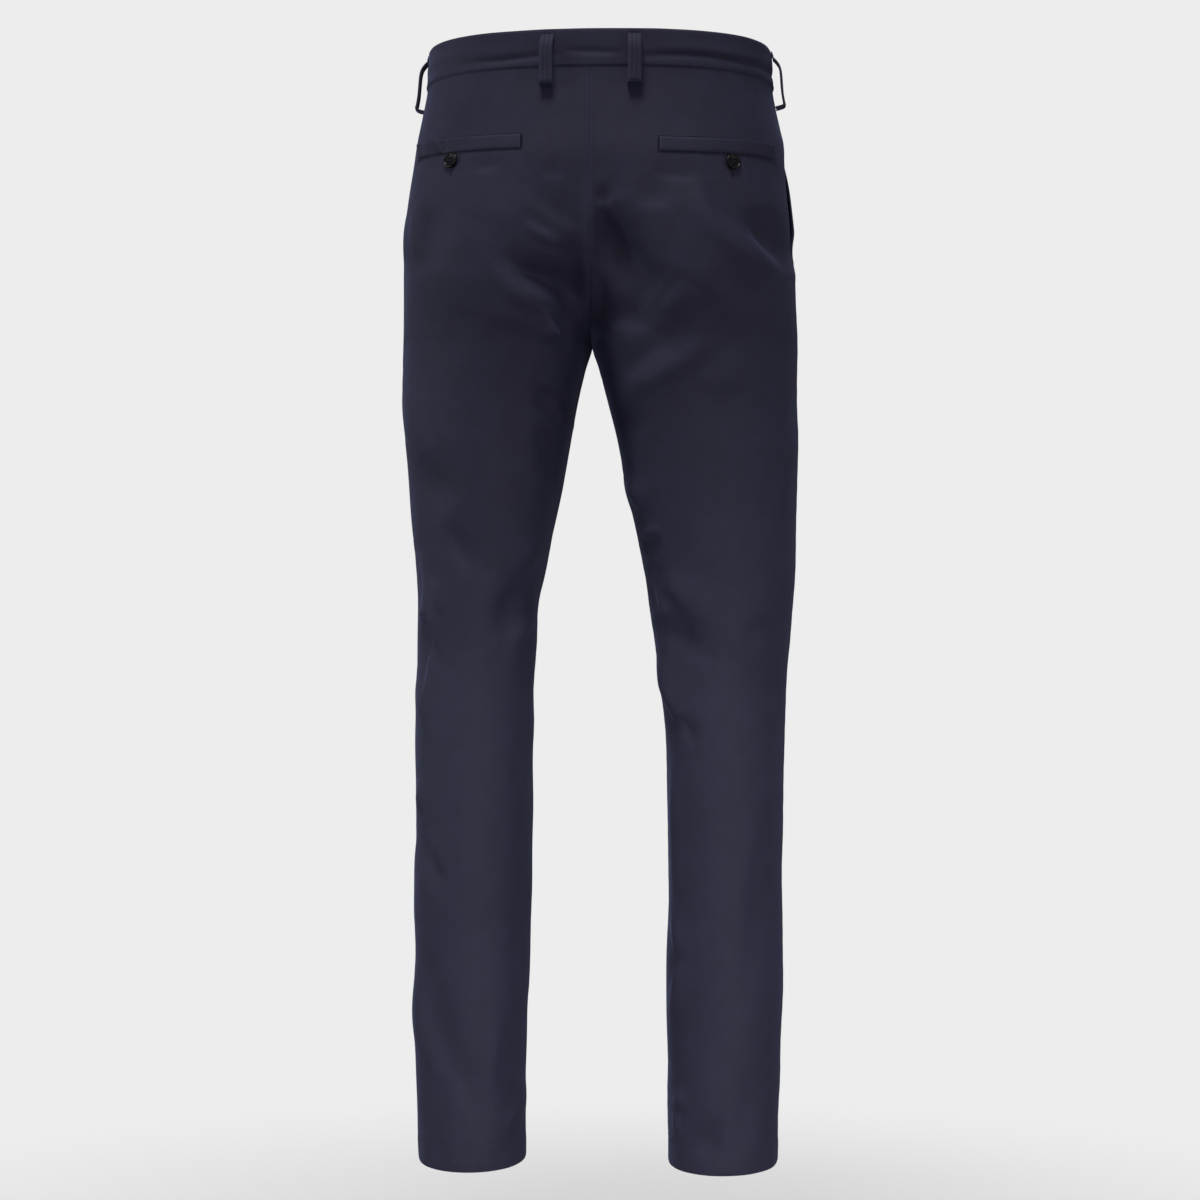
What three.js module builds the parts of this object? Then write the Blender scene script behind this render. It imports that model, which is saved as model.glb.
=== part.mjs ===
// Men's slim chino trousers, filled out as if worn, hollow and open at the waist and both hems.
// Millimetres, +Z up. The front faces -Y and the wearer's left is +X.
// The origin is the centre of the waistband, where the wearer's waist holds the trousers up.
import * as THREE from "three";

// Driving sizes.
const CLOTH = 1.5; // wall of a single layer of twill
const HEM_CLOTH = 2.6; // wall where the hem is turned up
const HEM_DEPTH = 24;
const SEAM_GAP = 0.3; // between two pieces that meet at a seam
const LIE_GAP = 0.6; // between a panel and a piece that lies on it
const HEM_LEVEL = -1031;
const CROTCH_LEVEL = -260;
const WAIST_SEAM_LEVEL = -17.5;
const WAIST_TOP_LEVEL = 17.5;
const BAND_CLOTH = 3; // folded band
const BAND_PROUD = 1; // how far the band stands out from the panels
const FRONT_OVERLAP = 34; // of the band's right end under its left end
const FLY_EDGE = 4; // how far the left band end reaches past centre front
const FLY_WIDTH = 38;
const FLY_BOTTOM_LEVEL = -196;
const FLY_DOUBLED = 1.3; // extra cloth of the folded fly
const POCKET_BOTTOM_LEVEL = -186; // where the slant pocket meets the side seam
const POCKET_SLANT = 42; // from the side seam to the pocket edge at the waist
const LOOP_WIDTH = 12;
const LOOP_CLOTH = 1.6;
const WELT_HEIGHT = 12;
const WELT_CLOTH = 1.4;
const BUTTON_RADIUS = 7.4;
const BUTTON_THICKNESS = 2.6;
const ZIP_WIDTH = 24;
const ZIP_CLOTH = 1.2;
const ZIP_BOTTOM_LEVEL = -176;
const ZIP_LIFT = -CLOTH - 0.5;
const SHIELD_HALF = 21;
const SHIELD_LIFT = ZIP_LIFT - ZIP_CLOTH - 0.3;

const NAVY = new THREE.Color().setRGB(0.03, 0.029, 0.047);
const BLACK = new THREE.Color().setRGB(0.008, 0.008, 0.01);

// A table of named columns against height, joined up by curves that never overshoot a row.
function table(names, rows) {
  const z = rows.map((row) => row[0]);
  const made = {};
  names.split(" ").forEach((name, column) => {
    const y = rows.map((row) => row[column]);
    const step = z.slice(1).map((v, i) => v - z[i]);
    const rise = step.map((d, i) => (y[i + 1] - y[i]) / d);
    const slope = y.map((_, i) => {
      if (i === 0) return rise[0];
      if (i === y.length - 1) return rise[i - 1];
      const [a, b] = [rise[i - 1], rise[i]];
      return a * b <= 0 ? 0 : (2 * a * b) / (a + b);
    });
    made[name] = (at) => {
      const x = Math.min(Math.max(at, z[0]), z[z.length - 1]);
      let i = 0;
      while (i < z.length - 2 && x > z[i + 1]) i++;
      const t = (x - z[i]) / step[i];
      const [t2, t3] = [t * t, t * t * t];
      return (
        y[i] * (2 * t3 - 3 * t2 + 1) +
        slope[i] * step[i] * (t3 - 2 * t2 + t) +
        y[i + 1] * (3 * t2 - 2 * t3) +
        slope[i + 1] * step[i] * (t3 - t2)
      );
    };
  });
  return made;
}

const smooth = (t) => {
  const x = Math.min(Math.max(t, 0), 1);
  return x * x * (3 - 2 * x);
};

// Outline from behind: how far each leg's outer and inner side lie from the middle.
const OUTLINE = table("level leftOut leftIn rightOut rightIn", [
  [-1031, 172, 70, 169, 65],
  [-996, 173, 71, 169, 65],
  [-939, 175, 69.5, 171, 65.5],
  [-882, 176, 68, 173, 66],
  [-825, 176.5, 66, 174, 66],
  [-749, 176, 64.5, 174, 65.5],
  [-692, 175, 64, 174, 64.5],
  [-635, 175.5, 64, 174.5, 63.5],
  [-597, 175, 64.5, 176.5, 60],
  [-559, 174, 62.5, 178, 55],
  [-521, 174.5, 60.5, 181.5, 48.5],
  [-464, 177, 50.5, 185.5, 40],
  [-407, 181.5, 39, 186, 28.5],
  [-350, 185.5, 27.5, 188, 17],
  [-312, 187, 21.5, 186.5, 8],
  [-284, 187, 14.5, 186.5, 0],
  [-260, 187, 7, 187, -7],
  [-200, 186, 0, 185.5, 0],
  [-160, 185.5, 0, 185, 0],
  [-122, 182.5, 0, 182.5, 0],
  [-84, 177, 0, 177, 0],
  [-46, 168.5, 0, 168.5, 0],
  [-17.5, 163.5, 0, 163.5, 0],
  [17.5, 161.5, 0, 161.5, 0],
]);

// Outline from the side: the furthest back, the furthest front, and where the two seams run.
const PROFILE = table("level back front side inseam", [
  [-1031, 66, -56, 5, 5],
  [-939, 68, -57, 6, 6],
  [-825, 73, -60, 7, 7],
  [-749, 77, -63, 7, 7],
  [-692, 77, -67, 5, 6],
  [-635, 73, -71, 1, 3],
  [-559, 67, -78, -4, -2],
  [-502, 71, -84, -5, -3],
  [-407, 85, -95, -3, 0],
  [-312, 102, -104, 0, 5],
  [-260, 115, -106, 2, 8],
  [-200, 130, -108, 2, 8],
  [-150, 132, -109, 2, 8],
  [-100, 126, -110, 1, 8],
  [-60, 117, -109, 0, 8],
  [-17.5, 109, -105, 0, 8],
  [17.5, 107, -103, 0, 8],
]);

// The centre seam above the crotch: its place, and how far each side turns into the cleft there.
const SEAM = table("level x back front backTurn frontTurn", [
  [-260, 7, 8, 8, 90, 90],
  [-258, 6.6, 22, -6, 86, 86],
  [-254, 6, 37, -22, 81, 79],
  [-247, 5, 53, -40, 73, 68],
  [-236, 3.4, 72, -60, 60, 50],
  [-220, 1.6, 92, -80, 43, 30],
  [-200, 0.5, 108, -95, 28, 15],
  [-175, 0, 120, -103, 16, 6],
  [-145, 0, 127, -108, 8, 2],
  [-100, 0, 125, -110, 3, 0],
  [-60, 0, 117, -109, 0, 0],
  [-17.5, 0, 109, -105, 0, 0],
  [17.5, 0, 107, -103, 0, 0],
]);

// How far each quarter's plan runs straight back or forward from its side seam before it turns
// in, as a share of the depth there: 4/3 is a full round leg and 0.55 the corner of an ellipse.
const ROUNDING = table("level back front", [
  [-620, 1.333, 1.333],
  [-480, 1.28, 1.28],
  [-380, 1.2, 1.2],
  [-300, 1.1, 1.08],
  [-240, 1, 0.92],
  [-180, 0.84, 0.76],
  [-110, 0.68, 0.64],
  [17.5, 0.62, 0.6],
]);
const STRAIGHT_SHARE = 0.66; // of the torso's half width, along which centre back runs flat

const bezier = (a, b, c, d, t) =>
  (1 - t) ** 3 * a + 3 * t * (1 - t) ** 2 * b + 3 * t * t * (1 - t) * c + t ** 3 * d;

// The inner handle with which a quarter's curve just reaches its full depth, by halving.
const FLAT_TURN = 28; // degrees of turn from which the depth alone sets the handle
const HANDLE_MOST = 260;
function handleFor(face, innerY, angle, handleY, sideY, deepest) {
  let [low, high] = [0, HANDLE_MOST];
  while (high - low > 0.02) {
    const reach = (low + high) / 2;
    let most = -Infinity;
    for (let i = 0; i <= 50; i++) {
      const y = bezier(innerY, innerY + face * Math.sin(angle) * reach, handleY, sideY, i / 50);
      most = Math.max(most, face * y);
    }
    if (most < face * deepest) low = reach;
    else high = reach;
  }
  return low;
}

// The plan of one quarter of the body, from its inner seam to the side seam, as a cubic Bezier.
// side is 1 for the wearer's left and -1 for the right; face is 1 behind and -1 in front.
function quarter(side, face, level) {
  const out = side * (side > 0 ? OUTLINE.leftOut(level) : OUTLINE.rightOut(level));
  const inside = side * (side > 0 ? OUTLINE.leftIn(level) : OUTLINE.rightIn(level));
  const torso = level > CROTCH_LEVEL;
  const back = face > 0;
  const deepest = back ? PROFILE.back(level) : PROFILE.front(level);
  const sideY = PROFILE.side(level);
  const innerX = torso ? SEAM.x(level) : inside;
  const seamY = back ? SEAM.back(level) : SEAM.front(level);
  const innerY = torso ? seamY : PROFILE.inseam(level);
  const turn = back ? SEAM.backTurn(level) : SEAM.frontTurn(level);
  const angle = THREE.MathUtils.degToRad(torso ? turn : 90);
  const rounding = back ? ROUNDING.back(level) : ROUNDING.front(level);
  const handleY = sideY + rounding * (deepest - sideY);
  // The inner handle is a share of the width where the seam runs flat. Where the plan turns into
  // the cleft or round a leg it is as long as the curve needs to reach its full depth.
  const flat = STRAIGHT_SHARE * Math.abs(out - innerX);
  const turned = smooth((torso ? turn : 90) / FLAT_TURN);
  const full = turned > 0 ? handleFor(face, innerY, angle, handleY, sideY, deepest) : flat;
  const reach = flat + (full - flat) * turned;
  return [
    [innerX, innerY],
    [innerX + side * Math.cos(angle) * reach, innerY + face * Math.sin(angle) * reach],
    [out, handleY],
    [out, sideY],
  ];
}

// The same quarter as evenly spaced points, kept for reuse.
const PLAN_STEPS = 96;
const plans = new Map();
function plan(side, face, level) {
  const key = side + "," + face + "," + level.toFixed(3);
  if (plans.has(key)) return plans.get(key);
  const [a, b, c, d] = quarter(side, face, level);
  const points = [];
  const along = [0];
  for (let i = 0; i <= PLAN_STEPS; i++) {
    const t = i / PLAN_STEPS;
    const p = [bezier(a[0], b[0], c[0], d[0], t), bezier(a[1], b[1], c[1], d[1], t)];
    if (i) {
      const q = points[i - 1];
      along.push(along[i - 1] + Math.hypot(p[0] - q[0], p[1] - q[1]));
    }
    points.push(p);
  }
  const made = { points, along, length: along[PLAN_STEPS] };
  plans.set(key, made);
  return made;
}

// A point of a quarter, at a share of its length from the inner seam.
function planPoint(side, face, level, share) {
  const { points, along, length } = plan(side, face, level);
  const want = Math.min(Math.max(share, 0), 1) * length;
  let i = 1;
  while (i < PLAN_STEPS && along[i] < want) i++;
  const t = (want - along[i - 1]) / Math.max(along[i] - along[i - 1], 1e-9);
  const [p, q] = [points[i - 1], points[i]];
  return [p[0] + (q[0] - p[0]) * t, p[1] + (q[1] - p[1]) * t];
}

// The waist rises behind and dips in front, and the hems drop behind.
const WAIST_TILT = { flat: -2, slope: 0.0925, bow: -0.0003, fadeFrom: -120, fadeTo: -30 };
const HEM_TILT = { slope: -0.083, middle: 5, fadeFrom: -900, fadeTo: -1020 };
function tilt(y, level) {
  const waist = WAIST_TILT.flat + WAIST_TILT.slope * y + WAIST_TILT.bow * y * y;
  const waistShare = smooth(
    (level - WAIST_TILT.fadeFrom) / (WAIST_TILT.fadeTo - WAIST_TILT.fadeFrom),
  );
  const hem = HEM_TILT.slope * (y - HEM_TILT.middle);
  const hemShare = smooth(
    (level - HEM_TILT.fadeFrom) / (HEM_TILT.fadeTo - HEM_TILT.fadeFrom),
  );
  return waist * waistShare + hem * hemShare;
}

// The largest folds, seen from straight behind (face 1) or in front (face -1). A fold runs from
// one point to another, bows by "bow" to one side, and is a ridge when high is above 0 and a
// trough when it is below.
const FOLD_COLUMNS = "face x1 level1 x2 level2 bow width high";
const FOLDS = [
  [1, 48, -126, 6, -158, 5, 12, -3.5],
  [1, 38, -168, 5, -192, 3, 11, -3.5],
  [1, 80, -184, 4, -220, 9, 13, -6],
  [1, 84, -204, 24, -232, 8, 12, 3],
  [1, 14, -192, 14, -248, 0, 13, -4],
  [1, 92, -240, 20, -262, -6, 14, 3],
  [1, -4, -128, -58, -230, 8, 22, -5],
  [1, -30, -130, -84, -206, 8, 15, 3],
  [1, -3, -232, -56, -256, -3, 12, -5],
  [1, -26, -289, -96, -249, 3, 13, -5],
  [1, -40, -306, -110, -262, 4, 12, 3],
  [1, -112, -118, -182, -178, 12, 13, -5],
  [1, -100, -134, -170, -196, 12, 13, 3],
  [1, 182, -300, 154, -372, 4, 14, 4],
  [1, 168, -372, 132, -418, 0, 18, -4],
  [1, 136, -428, 110, -474, 3, 13, -4],
  [1, 53, -312, 34, -318, 0, 14, -4],
  [1, 175, -462, 142, -566, 4, 11, -5.5],
  [1, 166, -498, 156, -532, 0, 10, 4],
  [1, 168, -576, 158, -616, 0, 12, 3.5],
  [1, 52, -474, 86, -532, 5, 13, -5],
  [1, 58, -502, 74, -556, 4, 11, 3],
  [1, -28, -382, -38, -418, 0, 11, 4],
  [1, -44, -472, -68, -514, 0, 12, -5],
  [1, -60, -478, -92, -512, 0, 11, 4],
  [1, -50, -527, -100, -552, -3, 13, -5.5],
  [1, -57, -554, -78, -604, 3, 11, 4.5],
  [1, -176, -600, -140, -560, 0, 16, -3.5],
  [1, 174, -716, 144, -766, 0, 14, -4],
  [1, 169, -816, 128, -946, 8, 15, -4.5],
  [1, 176, -860, 150, -940, 6, 12, 3],
  [1, 65, -884, 81, -974, 4, 13, -4],
  [1, -74, -796, -68, -926, 5, 12, 3.5],
  [1, -171, -708, -150, -866, 5, 17, -4],
  [1, -96, -996, -118, -1004, 0, 16, -3],
  [-1, 14, -214, 84, -196, 6, 13, -4],
  [-1, -14, -212, -88, -200, -6, 13, -4],
  [-1, 16, -238, 92, -256, 4, 14, -4],
  [-1, -16, -240, -84, -262, -4, 14, -4],
  [-1, 30, -290, 80, -340, 0, 15, 3],
  [-1, 60, -500, 130, -530, 6, 15, -4.5],
  [-1, -58, -512, -126, -536, -6, 15, -4.5],
  [-1, 172, -560, 120, -590, 0, 14, -4],
  [-1, -176, -566, -122, -588, 0, 14, -4],
  [-1, 160, -900, 110, -950, 5, 16, -3.5],
  [-1, -70, -910, -130, -952, -5, 16, -3.5],
].map((row) => Object.fromEntries(FOLD_COLUMNS.split(" ").map((name, i) => [name, row[i]])));

// How far one fold moves the cloth out at a place.
const FOLD_STEPS = 12;
const FOLD_END = 0.3; // of its height left at a fold's two ends
function foldHeight(fold, x, level) {
  const [dx, dz] = [fold.x2 - fold.x1, fold.level2 - fold.level1];
  const length = Math.hypot(dx, dz);
  let nearest = Infinity;
  let place = 0;
  for (let i = 0; i <= FOLD_STEPS; i++) {
    const t = i / FOLD_STEPS;
    const bow = (4 * fold.bow * t * (1 - t)) / length;
    const away = Math.hypot(
      x - (fold.x1 + dx * t - dz * bow),
      level - (fold.level1 + dz * t + dx * bow),
    );
    if (away < nearest) [nearest, place] = [away, t];
  }
  const taper = FOLD_END + (1 - FOLD_END) * Math.sin(Math.PI * place);
  return fold.high * taper * Math.exp(-((nearest / fold.width) ** 2));
}

// All folds at a place. Those of one face die away just past the side seam.
const FOLD_WRAP = 18;
const SEAM_HOLD = 10;
const LEG_GAP_HOLD = 30; // below the crotch, where the legs part
function folds(x, y, level) {
  const behind = smooth((y + FOLD_WRAP) / (2 * FOLD_WRAP));
  const share = { 1: behind, "-1": 1 - behind };
  let high = 0;
  for (const fold of FOLDS) {
    if (share[fold.face] > 0) high += share[fold.face] * foldHeight(fold, x, level);
  }
  const nearCrotch = level > CROTCH_LEVEL - LEG_GAP_HOLD;
  return nearCrotch ? high * smooth(Math.abs(x - SEAM.x(level)) / SEAM_HOLD) : high;
}

// Where the side sinks in behind each slant pocket's mouth, which gapes.
const DIPS = {
  1: { deepest: 12, from: -198, to: -62 },
  "-1": { deepest: 10.5, from: -198, to: -66 },
};
const DIP_SPREAD = 26;
const DIP_SHOULDER = 1.2; // keeps a dip's two ends from running out too thin
const MOUTH_OPENS_OVER = 34;
function dipAt(side, level) {
  const dip = DIPS[side];
  const t = (level - dip.from) / (dip.to - dip.from);
  if (t <= 0 || t >= 1) return 0;
  const wave = Math.sin(Math.PI * t);
  return -dip.deepest * wave ** 2 - DIP_SHOULDER * wave;
}
const slantAt = (level) =>
  (POCKET_SLANT * (level - POCKET_BOTTOM_LEVEL)) / (WAIST_SEAM_LEVEL - POCKET_BOTTOM_LEVEL);

// The outer face of the cloth before any normal offset, at a share of a quarter's length.
function bare(side, face, level, share) {
  const [x, y] = planPoint(side, face, level, share);
  return new THREE.Vector3(x, y, level + tilt(y, level));
}
function normalOf(point, side, face) {
  const [du, dv] = [0.004, 0.8];
  return (level, share) => {
    const [a, b] = [Math.max(share - du, 0), Math.min(share + du, 1)];
    const across = point(level, b).sub(point(level, a));
    const up = point(level + dv, share).sub(point(level - dv, share));
    return across.cross(up).multiplyScalar(side * face).normalize().negate();
  };
}

// The dressed surface: folds, the dips at the pockets and the doubled fly, moved along the normal.
const bareNormal = {};
for (const side of [1, -1])
  for (const face of [1, -1])
    bareNormal[side + "," + face] = normalOf(
      (level, share) => bare(side, face, level, share),
      side,
      face,
    );
function surface(side, face, level, share, lift = 0) {
  const length = plan(side, face, level).length;
  const fromSide = (1 - share) * length;
  const start = bare(side, face, level, share);
  let high = folds(start.x, start.y, level) + lift;
  const dip = dipAt(side, level);
  const closed = 1 - smooth((level - POCKET_BOTTOM_LEVEL) / MOUTH_OPENS_OVER);
  if (face > 0) high += dip * Math.exp(-((fromSide / DIP_SPREAD) ** 2));
  else {
    const slant = Math.max(slantAt(level), 0);
    high += dip * closed * Math.exp(-((Math.max(fromSide - slant, 0) / DIP_SPREAD) ** 2));
  }
  const normal = bareNormal[side + "," + face](level, share);
  return start.addScaledVector(normal, high);
}

// A closed wall from a grid of outer points and their inner partners.
function wall(outer, inner) {
  const rows = outer.length;
  const cols = outer[0].length;
  const positions = [];
  [outer, inner].forEach((grid) =>
    grid.forEach((row) => row.forEach((p) => positions.push(p.x, p.y, p.z))),
  );
  const at = (layer, i, j) => layer * rows * cols + i * cols + j;
  const index = [];
  const quad = (a, b, c, d) => index.push(a, b, c, a, c, d);
  for (let i = 0; i < rows - 1; i++)
    for (let j = 0; j < cols - 1; j++) {
      quad(at(0, i, j), at(0, i, j + 1), at(0, i + 1, j + 1), at(0, i + 1, j));
      quad(at(1, i, j), at(1, i + 1, j), at(1, i + 1, j + 1), at(1, i, j + 1));
    }
  for (let j = 0; j < cols - 1; j++) {
    quad(at(0, 0, j), at(1, 0, j), at(1, 0, j + 1), at(0, 0, j + 1));
    const last = rows - 1;
    quad(at(0, last, j), at(0, last, j + 1), at(1, last, j + 1), at(1, last, j));
  }
  for (let i = 0; i < rows - 1; i++) {
    quad(at(0, i, 0), at(0, i + 1, 0), at(1, i + 1, 0), at(1, i, 0));
    const last = cols - 1;
    quad(at(0, i, last), at(1, i, last), at(1, i + 1, last), at(0, i + 1, last));
  }
  const geometry = new THREE.BufferGeometry();
  geometry.setAttribute("position", new THREE.Float32BufferAttribute(positions, 3));
  geometry.setIndex(index);
  return facingOut(geometry);
}

// Turns a closed mesh's faces round if they point inwards.
function facingOut(geometry) {
  const p = geometry.getAttribute("position");
  const index = geometry.index.array;
  const [a, b, c] = [new THREE.Vector3(), new THREE.Vector3(), new THREE.Vector3()];
  let volume = 0;
  for (let i = 0; i < index.length; i += 3) {
    a.fromBufferAttribute(p, index[i]);
    b.fromBufferAttribute(p, index[i + 1]);
    c.fromBufferAttribute(p, index[i + 2]);
    volume += a.dot(b.cross(c));
  }
  if (volume < 0)
    for (let i = 0; i < index.length; i += 3)
      [index[i + 1], index[i + 2]] = [index[i + 2], index[i + 1]];
  geometry.computeVertexNormals();
  return geometry;
}

// The outward normals of a grid of points, from its neighbours. At a seam on the side of a leg
// they lean neither to the front nor to the back, so two panels that meet there stay in line.
function gridNormals(grid, sign, onSideSeam = () => false) {
  return grid.map((row, i) =>
    row.map((_, j) => {
      const across = row[Math.min(j + 1, row.length - 1)].clone().sub(row[Math.max(j - 1, 0)]);
      const up = grid[Math.min(i + 1, grid.length - 1)][j]
        .clone()
        .sub(grid[Math.max(i - 1, 0)][j]);
      const normal = up.cross(across).multiplyScalar(sign);
      if (onSideSeam(i, j)) normal.y = 0;
      return normal.normalize();
    }),
  );
}

const spaced = (from, to, count) =>
  Array.from({ length: count + 1 }, (_, i) => from + ((to - from) * i) / count);

// The heights of a panel's rows: close together at the crotch, knee and pockets.
const PANEL_LEVELS = [
  ...spaced(HEM_LEVEL, HEM_LEVEL + HEM_DEPTH, 1),
  ...spaced(-975, -720, 7),
  ...spaced(-692, -480, 8),
  ...spaced(-450, -300, 5),
  -281,
  CROTCH_LEVEL,
  -254,
  -245,
  -233,
  ...spaced(-218, -62, 8),
  -40,
  WAIST_SEAM_LEVEL - SEAM_GAP / 2,
];
const PANEL_COLUMNS = 16;

// A leg panel, front or back, from its hem to the waist seam.
function panel(side, face) {
  const grid = PANEL_LEVELS.map((level) => {
    const length = plan(side, face, level).length;
    const slant = face < 0 && level > POCKET_BOTTOM_LEVEL ? slantAt(level) : 0;
    const [from, to] = [SEAM_GAP / 2 / length, 1 - (slant + SEAM_GAP / 2) / length];
    return spaced(from, to, PANEL_COLUMNS).map((share) => {
      const fly = flyShare(side, face, level, share * length);
      const p = surface(side, face, level, share, fly * FLY_DOUBLED);
      if (level > CROTCH_LEVEL - LEG_GAP_HOLD) keepOwnSide(p, side, level);
      return p;
    });
  });
  const inseamRow = (i) => PANEL_LEVELS[i] <= CROTCH_LEVEL;
  const normals = gridNormals(
    grid,
    side * face,
    (i, j) => j === PANEL_COLUMNS || (j === 0 && inseamRow(i)),
  );
  const inner = grid.map((row, i) =>
    row.map((p, j) => {
      const level = PANEL_LEVELS[i];
      const length = plan(side, face, level).length;
      const fly = flyShare(side, face, level, (j / PANEL_COLUMNS) * length);
      const layer = level <= HEM_LEVEL + HEM_DEPTH ? HEM_CLOTH : CLOTH;
      const thick = layer + fly * FLY_DOUBLED;
      const q = p.clone().addScaledVector(normals[i][j], -thick);
      if (level > CROTCH_LEVEL - LEG_GAP_HOLD) keepOwnSide(q, side, level);
      return q;
    }),
  );
  return wall(grid, inner);
}

// 1 on the doubled fly of the left front, 0 elsewhere.
const FLY_THICKENS_OVER = 20;
const FLY_THINS_OVER = 10;
function flyShare(side, face, level, fromCentre) {
  if (side < 0 || face > 0 || level < FLY_BOTTOM_LEVEL) return 0;
  const low = smooth((level - FLY_BOTTOM_LEVEL) / FLY_THICKENS_OVER);
  const edge = smooth((fromCentre - FLY_WIDTH + FLY_THINS_OVER) / FLY_THINS_OVER);
  return low * (1 - edge);
}

// Keeps a panel on its own side of the centre seam.
function keepOwnSide(p, side, level) {
  const seam = level > CROTCH_LEVEL ? SEAM.x(level) : SEAM.x(CROTCH_LEVEL);
  const limit = seam + (side * SEAM_GAP) / 2;
  p.x = side > 0 ? Math.max(p.x, limit) : Math.min(p.x, limit);
}

// A point of the dressed body by its distance round the waist from centre front, positive to
// the wearer's left, lifted off the cloth by "lift".
function bodyPoint(around, level, lift) {
  const side = around < 0 ? -1 : 1;
  const front = plan(side, -1, level).length;
  const back = plan(side, 1, level).length;
  const distance = Math.abs(around);
  const face = distance <= front ? -1 : 1;
  const share = face < 0 ? distance / front : 1 - (distance - front) / back;
  const p = surface(side, face, level, share);
  return p.addScaledVector(bareNormal[side + "," + face](level, share), lift);
}
const halfRound = (side, level) => plan(side, -1, level).length + plan(side, 1, level).length;
const frontRound = (side, level) => plan(side, -1, level).length;

// The slant pocket's facing: it lies under the back panel's edge and under the front panel.
const FACING_UNDER_BACK = 6;
const FACING_UNDER_FRONT = 22;
const FACING_GAP = 0.9;
const FACING_LEVELS = [...spaced(POCKET_BOTTOM_LEVEL + 4, -40, 8), WAIST_SEAM_LEVEL - SEAM_GAP / 2];
const FACING_COLUMNS = 8;
function facing(side) {
  const grid = FACING_LEVELS.map((level) => {
    const seam = frontRound(side, level);
    const from = seam - slantAt(level) - FACING_UNDER_FRONT;
    return spaced(from, seam + FACING_UNDER_BACK, FACING_COLUMNS).map((around) => {
      const forward = seam - around;
      const past = Math.max(forward - slantAt(level), 0);
      const front = forward > 0;
      const closed = 1 - smooth((level - POCKET_BOTTOM_LEVEL) / MOUTH_OPENS_OVER);
      const dip = dipAt(side, level);
      const spread = Math.exp(-((past / DIP_SPREAD) ** 2));
      const sunk = front ? dip * spread - dip * closed * spread : 0;
      return bodyPoint(side * around, level, sunk - CLOTH - FACING_GAP);
    });
  });
  const normals = gridNormals(grid, -side);
  const inner = grid.map((row, i) =>
    row.map((p, j) => p.clone().addScaledVector(normals[i][j], -CLOTH)),
  );
  return wall(grid, inner);
}

// Half of the waistband, from centre back to past centre front. Its right end tucks under.
const BAND_COLUMNS = 30;
const TUCK_FROM = -30;
const TUCK_OVER = 22;
function waistband(side) {
  const ends = (level) => [
    side * (halfRound(side, level) - SEAM_GAP / 2),
    side > 0 ? -FLY_EDGE : FRONT_OVERLAP,
  ];
  const levels = spaced(WAIST_SEAM_LEVEL + SEAM_GAP / 2, WAIST_TOP_LEVEL, 2);
  const layer = (lift) =>
    levels.map((level) => {
      const [from, to] = ends(level);
      return spaced(from, to, BAND_COLUMNS).map((around) => {
        const tuck = side < 0 ? smooth((around - TUCK_FROM) / TUCK_OVER) : 0;
        return bodyPoint(around, level, lift - tuck * (BAND_CLOTH + LIE_GAP));
      });
    });
  return wall(layer(BAND_PROUD), layer(BAND_PROUD - BAND_CLOTH));
}

// A flat strip through stations, each with its four corners in order round the section.
function strip(stations) {
  const positions = [];
  stations.forEach((corners) => corners.forEach((p) => positions.push(p.x, p.y, p.z)));
  const sides = stations[0].length;
  const index = [];
  for (let i = 0; i < stations.length - 1; i++)
    for (let j = 0; j < sides; j++) {
      const k = (j + 1) % sides;
      const [a, b] = [i * sides, (i + 1) * sides];
      index.push(a + j, a + k, b + k, a + j, b + k, b + j);
    }
  const last = (stations.length - 1) * sides;
  for (let j = 1; j < sides - 1; j++) {
    index.push(0, j + 1, j);
    index.push(last, last + j, last + j + 1);
  }
  const geometry = new THREE.BufferGeometry();
  geometry.setAttribute("position", new THREE.Float32BufferAttribute(positions, 3));
  geometry.setIndex(index);
  return facingOut(geometry);
}

// A belt loop: sewn at the band's top edge, bowed out for the belt, folded in below the seam.
const LOOP_PATH = [
  { off: 1.7, level: 17 },
  { off: 2.3, level: 12.5 },
  { off: 5.2, level: 9 },
  { off: 8.2, level: 4 },
  { off: 9.6, level: -3 },
  { off: 9.8, level: -14 },
  { off: 9.8, level: -26 },
  { off: 9.7, level: -34 },
  { off: 8.6, level: -36 },
  { off: 4.5, level: -36.6 },
  { off: 0.7, level: -36.8 },
];
const LOOP_TOP_STATIONS = 3; // they lie on the band
const LOOP_OVER_BAND = 1.6;
const LOOP_FOLD = 1.6; // the turned-in top end, in thicknesses of the loop
function beltLoop(aroundAt) {
  const path = LOOP_PATH.map(({ off, level }) => new THREE.Vector2(off, level));
  const stations = path.map((p, i) => {
    const ahead = path[Math.min(i + 1, path.length - 1)];
    const behind = path[Math.max(i - 1, 0)];
    const along = ahead.clone().sub(behind).normalize();
    const inward = new THREE.Vector2(along.y, -along.x).multiplyScalar(LOOP_CLOTH);
    if (i === 0) inward.set(0, -LOOP_CLOTH * LOOP_FOLD);
    if (i === path.length - 1) inward.set(0, LOOP_CLOTH);
    const q = p.clone().add(inward);
    const least = i < LOOP_TOP_STATIONS ? LOOP_OVER_BAND : LIE_GAP;
    const corner = (across, point) =>
      bodyPoint(aroundAt(point.y) + across, point.y, Math.max(point.x, least));
    const half = LOOP_WIDTH / 2;
    return [corner(-half, p), corner(half, p), corner(half, q), corner(-half, q)];
  });
  return strip(stations);
}

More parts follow.
